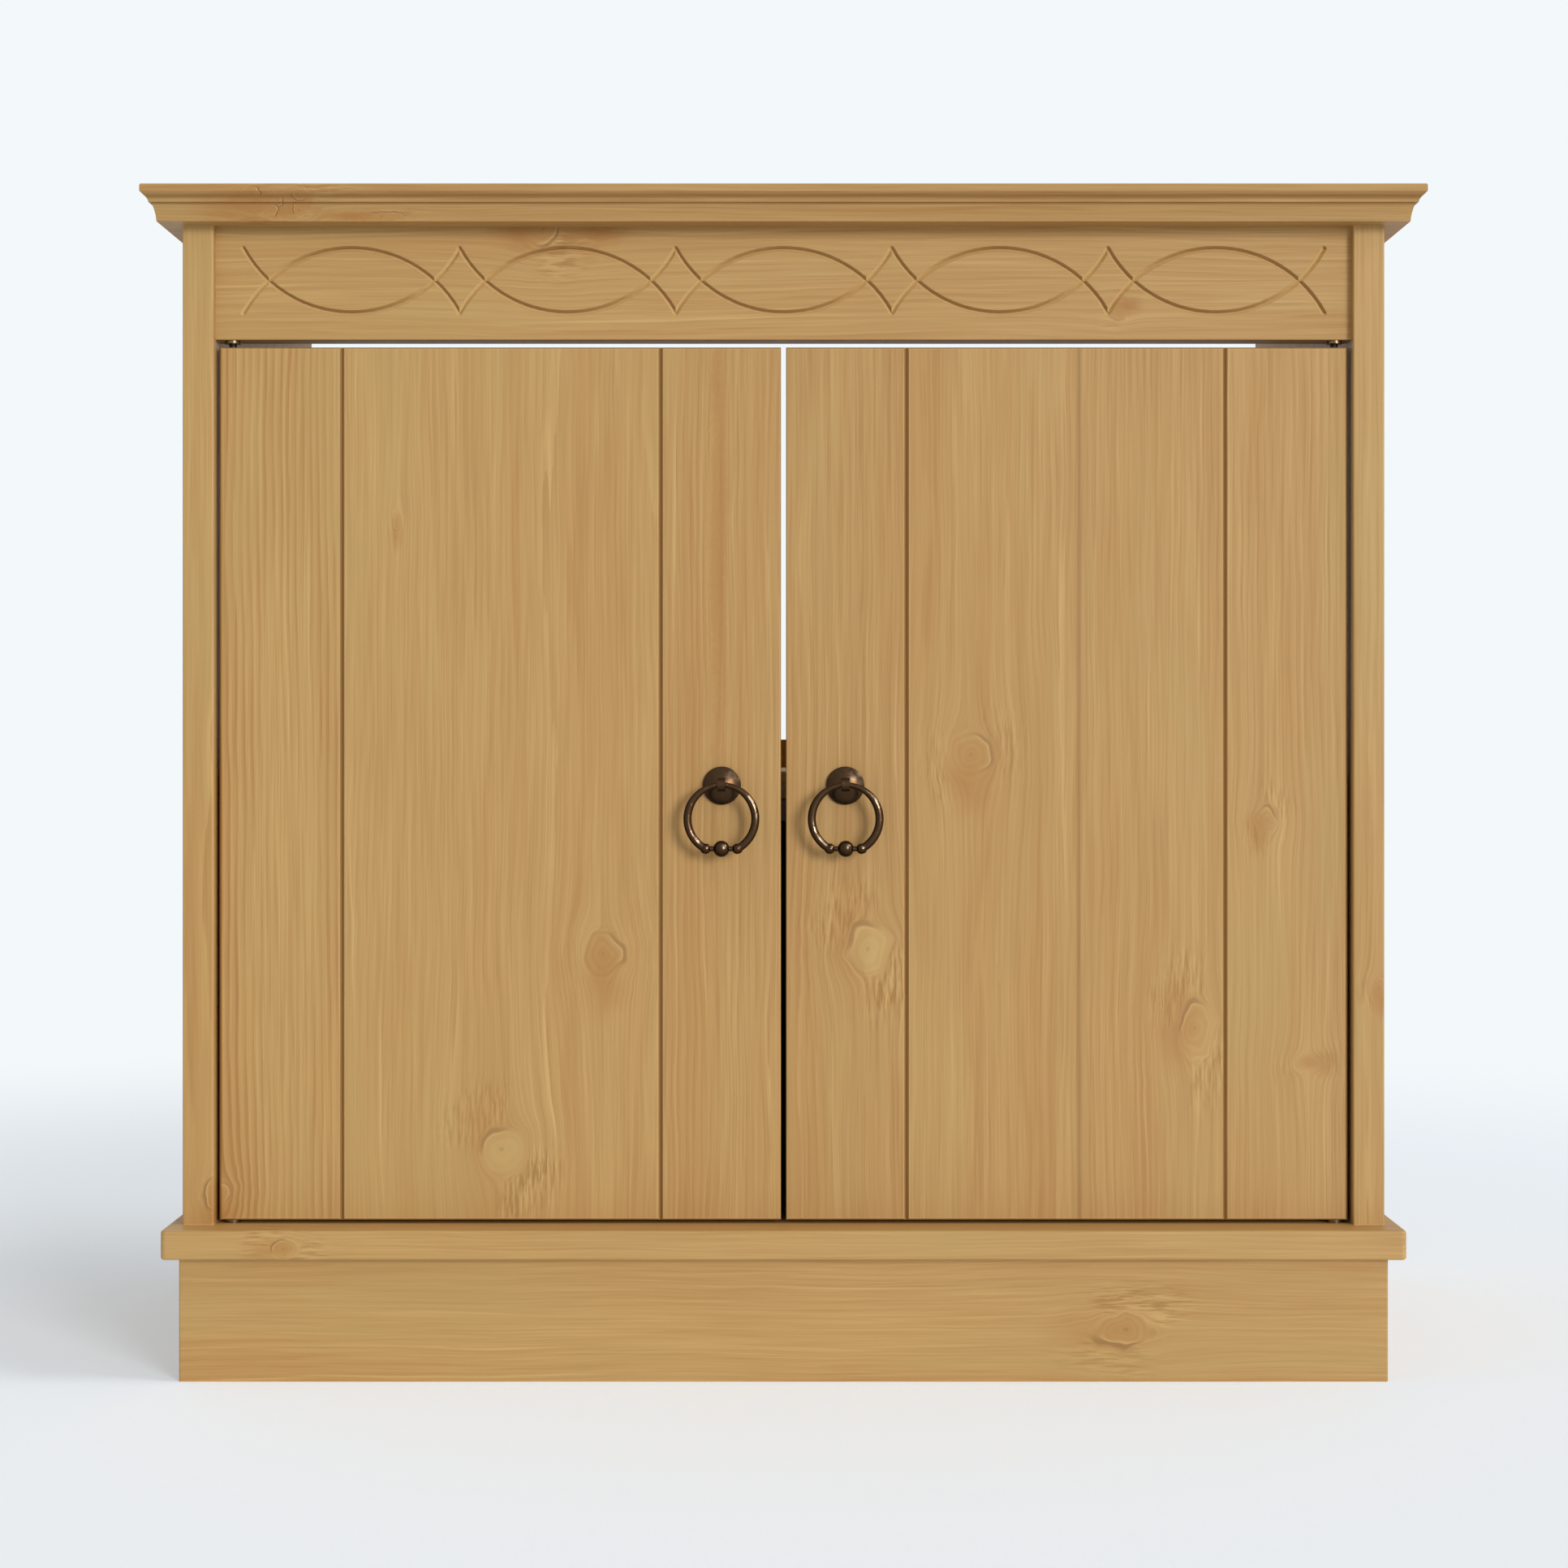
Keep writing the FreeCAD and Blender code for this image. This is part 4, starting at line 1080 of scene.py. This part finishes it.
LEFT_BOARDS = (
    DoorBoard(
        "door_left_outer_board", pith=(-150.0, 40.0), ring_mm=3.8, seed=2.3, tone=0.06,
        lines=0.85, wave_mm=2.0,
        knots=(Knot(-291.0, 93.5, 7.0, pale=-1.2, smear=1.0, outline=0.8),),
    ),
    DoorBoard(
        "door_left_middle_board", pith=(60.0, 90.0), ring_mm=3.4, seed=5.9, lines=0.2,
        knots=(
            Knot(-92.6, 216.8, 10.0, pale=-0.6),
            Knot(-144.4, 116.0, 11.0, pale=0.8, bark_degrees=130.0, smear_degrees=135.0, smear=0.4, fan=3.0),
            Knot(-198.7, 440.5, 2.6, length=2.2, outline=0.6, bark_degrees=220.0),
        ),
    ),
    DoorBoard(
        "door_left_inner_board", pith=(90.0, 60.0), ring_mm=3.0, seed=8.4, tone=-0.09,
        knots=(
            # A long streak of resin
            Knot(
                -35.3, 430.0, 2.4, length=40.0, pale=-1.4, smear_degrees=0.0, smear=0.9, outline=0.0, fan=0.0,
            ),
        ),
    ),
)
RIGHT_BOARDS = (
    DoorBoard(
        "door_right_inner_board", pith=(-80.0, 60.0), ring_mm=3.1, seed=11.2, tone=-0.16,
        knots=(
            Knot(43.6, 219.3, 11.0, pale=0.8, bark_degrees=130.0, smear_degrees=135.0, smear=0.4, fan=2.2),
        ),
    ),
    DoorBoard(
        "door_right_middle_board", pith=(-60.0, 90.0), ring_mm=3.3, seed=14.8, tone=-0.05, glue_line=152.0,
        lines=0.24,
        knots=(
            Knot(95.7, 319.3, 10.0, pale=-0.6, fan=1.0),
            Knot(212.1, 178.0, 9.0, length=1.5, pale=-0.8, bark_degrees=125.0, smear_degrees=170.0, fan=1.8),
        ),
    ),
    DoorBoard(
        "door_right_outer_board", pith=(140.0, 40.0), ring_mm=3.6, seed=17.5,
        knots=(
            Knot(248.5, 286.3, 5.8, bark_degrees=60.0, smear_degrees=-130.0, fan=1.6),
            Knot(
                270.0, 161.0, 7.0, length=0.6, pale=-1.0, smear_degrees=0.0, smear=0.7, outline=0.1, fan=1.0,
            ),
        ),
    ),
)

# The speckled knot on the top's edge: a brown patch, small dark and light marks, and a streak beside it
Speck = partial(Knot, pale=-0.8, smear=1.5, outline=1.8)
TOP_KNOTS = (
    Knot(598.5, -254.0, 7.0, length=2.2, pale=-0.6, smear=1.2, outline=0.1, fan=2.0),
    Speck(603.5, -268.8, 2.8, length=1.6, bark_degrees=60.0, smear_degrees=180.0, outline=1.6),
    Speck(603.5, -245.7, 3.0, length=1.3, bark_degrees=200.0, smear_degrees=180.0),
    Speck(600.3, -256.9, 2.8, length=1.1, bark_degrees=110.0, smear_degrees=180.0),
    Speck(595.8, -260.3, 3.2, length=1.2, bark_degrees=90.0, smear_degrees=90.0),
    Speck(596.3, -245.7, 3.0, bark_degrees=290.0, smear_degrees=-90.0),
    Knot(593.0, -202.8, 2.0, length=6.0, pale=-1.6, smear=1.5, outline=1.6),
)
# A large knot at the frieze's upper edge, resin beside it, and a brown mark at the right
FRIEZE_KNOTS = (
    Knot(589.4, -124.4, 9.0, length=1.0, pale=-1.2, bark_degrees=135.0, smear=1.3, outline=1.0, fan=3.4),
    Knot(588.0, -108.0, 5.0, length=2.0, pale=-1.0, smear_degrees=90.0, smear=1.4, outline=0.0, fan=1.0),
    Knot(
        546.5, 172.5, 4.2, length=1.1, pale=-1.0, bark_degrees=225.0, smear_degrees=45.0, smear=1.4,
        outline=0.4, fan=1.0,
    ),
)


@dataclass(frozen=True)
class Carcass:
    """The fixed part: top, sides, base, frieze, shelf, back and plinth, with their fasteners."""

    boards: tuple[Board, ...] = (
        LevelBoard(
            "top_board", pith=(-70.0, 60.0), ring_mm=3.2, seed=21.0, knots=TOP_KNOTS, tone=-0.22,
            quirks=((602.5, 1.9), (599.2, 0.8)),
        ),
        SidePanel(
            "side_panel_left", pith=(60.0, 10.0), seed=24.0,
            knots=(
                Knot(-290.0, 94.0, 7.0, pale=-1.2, bark_degrees=180.0, smear=1.2, outline=1.0),
                Knot(-20.0, 390.0, 9.0, on_side=True),
            ),
        ),
        SidePanel(
            "side_panel_right", pith=(-60.0, -20.0), seed=27.0,
            knots=(
                Knot(305.5, 200.0, 4.5, pale=-0.8, smear=0.8, fan=1.2),
                Knot(55.0, 300.0, 10.0, on_side=True),
            ),
        ),
        LevelBoard(
            "base_board", pith=(-60.0, 40.0), ring_mm=3.2, seed=30.0, rubbed=True,
            knots=(Knot(69.5, -252.7, 4.8, length=1.5, pale=-1.2, bark_degrees=-60.0, outline=1.0, fan=2.4),),
        ),
        LevelBoard(
            "frieze_rail", pith=(-90.0, 60.0), ring_mm=3.0, seed=33.0, knots=FRIEZE_KNOTS, carved=True,
        ),
        Board(
            "shelf", Axis.X, Axis.Y, pith=(30.0, 70.0), ring_mm=3.6, seed=36.0,
            knots=(Knot(20.0, 140.0, 9.0),),
        ),
        DeepBoard("shelf_cleat_left", pith=(40.0, 40.0), ring_mm=3.0, seed=39.0),
        DeepBoard("shelf_cleat_right", pith=(40.0, 40.0), ring_mm=3.0, seed=41.0),
        LevelBoard("back_rail", pith=(50.0, 50.0), ring_mm=3.2, seed=43.0),
        LevelBoard(
            "plinth_front", pith=(80.0, 60.0), ring_mm=3.3, seed=45.0,
            knots=(
                Knot(
                    25.8, 173.5, 8.0, length=1.8, pale=-0.8, bark_degrees=200.0, smear=0.6,
                    outline=1.0, fan=2.2,
                ),
            ),
        ),
        DeepBoard("plinth_side_left", pith=(70.0, 50.0), ring_mm=3.3, seed=48.0),
        DeepBoard("plinth_side_right", pith=(70.0, 50.0), ring_mm=3.3, seed=51.0),
        LevelBoard("plinth_back", pith=(70.0, 50.0), ring_mm=3.3, seed=54.0),
        Board("plinth_blocks", Axis.Z, Axis.X, pith=(70.0, 50.0), ring_mm=3.0, seed=57.0),
    )

    def dress(self, pine: LacqueredPine) -> None:
        """Dress the carcass's CAD nodes.

        Args:
            pine: The finish of its boards.
        """
        for board in self.boards:
            dress(board.node, pine.material(board))
        dress("back_panel", Plywood().material("back_panel"))
        for node in ("top_dowels", "base_dowels", "frieze_dowels", "back_rail_dowels"):
            dress(node, RAW_BEECH.material())
        for node in ("cleat_screws", "catch_screws", "back_panel_nails"):
            dress(node, ZINC_STEEL.material())
        dress("pivot_bushes", SINTERED_BRONZE.material())
        dress("catch_housing", BROWN_ABS.material())
        dress("catch_magnets", FERRITE.material())


@dataclass(frozen=True)
class Studio:
    """A pale floor and backdrop, soft light from the front right and right, and the photograph's camera."""

    image_px: int = 1932
    focal_px: float = 3600.0
    middle_px: float = 965.4
    horizon_px: float = 917.0
    sensor_mm: float = 36.0
    camera_y_mm: float = -1643.0
    camera_z_mm: float = 324.65
    sight_m: float = 56.0
    backdrop: str = "#F3F8FB"
    floor_tint: str = "#EFF6FD"
    floor_lift: float = 0.24
    floor_half_m: float = 14.0
    floor_fade_m: Span = (0.65, 1.6)
    fill_tint: str = "#FFFFFF"
    fill: float = 0.43
    key: float = 1.69
    key_from: Direction = (0.58, -1.0, 0.25)
    side: float = 0.75
    side_from: Direction = (1.0, -0.2, 0.8)
    light_degrees: float = 20.0

    def set_camera(self) -> None:
        """Place the camera level, as far off as the photograph's was."""
        data = bpy.data.cameras.new("photo_camera")
        data.sensor_width = self.sensor_mm
        data.lens = self.sensor_mm * self.focal_px / self.image_px
        data.shift_x = (self.image_px / 2 - self.middle_px) / self.image_px
        data.shift_y = (self.horizon_px - self.image_px / 2) / self.image_px
        data.clip_end = self.sight_m
        camera = bpy.data.objects.new("photo_camera", data)
        camera.location = Vector((0.0, self.camera_y_mm, self.camera_z_mm)) * MM
        camera.rotation_euler = (math.radians(90), 0.0, 0.0)
        bpy.context.scene.collection.objects.link(camera)
        bpy.context.scene.camera = camera

    def seen(self, sheet: NodeSheet) -> bpy.types.Node:
        """Tell the rays that show a surface, straight, mirrored or refracted, from those that light it.

        Args:
            sheet: The sheet to draw on.

        Returns:
            One for a ray that shows the surface, zero for another.
        """
        path = sheet.add("LightPath").outputs
        shown = sheet.add("Math ADD", (path["Is Camera Ray"], path["Is Glossy Ray"]))
        return sheet.add("Math ADD", (shown, path["Is Transmission Ray"]), use_clamp=True)

    def set_lights(self) -> None:
        """Hang the two lights and light the room evenly; the room shows as the pale backdrop."""
        lights = (("key_light", self.key, self.key_from), ("side_light", self.side, self.side_from))
        for name, strength, towards in lights:
            data = bpy.data.lights.new(name, "SUN")
            data.energy = strength
            data.angle = math.radians(self.light_degrees)
            lamp = bpy.data.objects.new(name, data)
            lamp.rotation_mode = "QUATERNION"
            lamp.rotation_quaternion = Vector(towards).to_track_quat("Z", "Y")
            bpy.context.scene.collection.objects.link(lamp)
        world = bpy.data.worlds.new("studio_room")
        bpy.context.scene.world = world
        sheet = NodeSheet(world)
        shown = sheet.add("Background", (linear(self.backdrop), 1.0))
        lit = sheet.add("Background", (linear(self.fill_tint), self.fill))
        sheet.add("OutputWorld", (sheet.add("MixShader", (self.seen(sheet), lit, shown)),))

    def lay_floor(self) -> None:
        """Lay a floor that takes the shadow near the unit and fades into the backdrop further out."""
        mesh = bmesh.new()
        bmesh.ops.create_grid(mesh, x_segments=1, y_segments=1, size=self.floor_half_m)
        material = bpy.data.materials.new("pale_studio_floor")
        floor = new_piece("studio_floor", mesh, material)
        sheet = NodeSheet(material)
        place = sheet.add("TexCoord").outputs["Object"]
        away = sheet.add("VectorMath LENGTH", (place,)).outputs["Value"]
        fade = sheet.add("MapRange", (away, *self.floor_fade_m), **SMOOTH)
        matt = sheet.add("BsdfDiffuse", (linear(self.floor_tint),))
        flat = sheet.add("Emission", (linear(self.backdrop), 1.0))
        seen = self.seen(sheet)
        lifted = sheet.add("Math MULTIPLY", (seen, self.floor_lift))
        lift = sheet.add("Emission", (linear(self.backdrop), lifted))
        lit = sheet.add("AddShader", (matt, lift))
        far = sheet.add("Math MULTIPLY", (fade, seen))
        sheet.add("OutputMaterial", (sheet.add("MixShader", (far, lit, flat)),))

    def build(self) -> None:
        """Build the whole studio."""
        self.set_camera()
        self.set_lights()
        self.lay_floor()
        bpy.context.scene.view_settings.view_transform = "Standard"


def main() -> None:
    """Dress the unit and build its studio."""
    logging.basicConfig(level=logging.INFO, format="%(name)s: %(message)s")
    pine = LacqueredPine()
    Carcass().dress(pine)
    Door(Side.LEFT, LEFT_BOARDS, batten_seed=61.0).dress(pine)
    Door(Side.RIGHT, RIGHT_BOARDS, batten_seed=67.0).dress(pine)
    Studio().build()


if __name__ == "__main__":
    main()
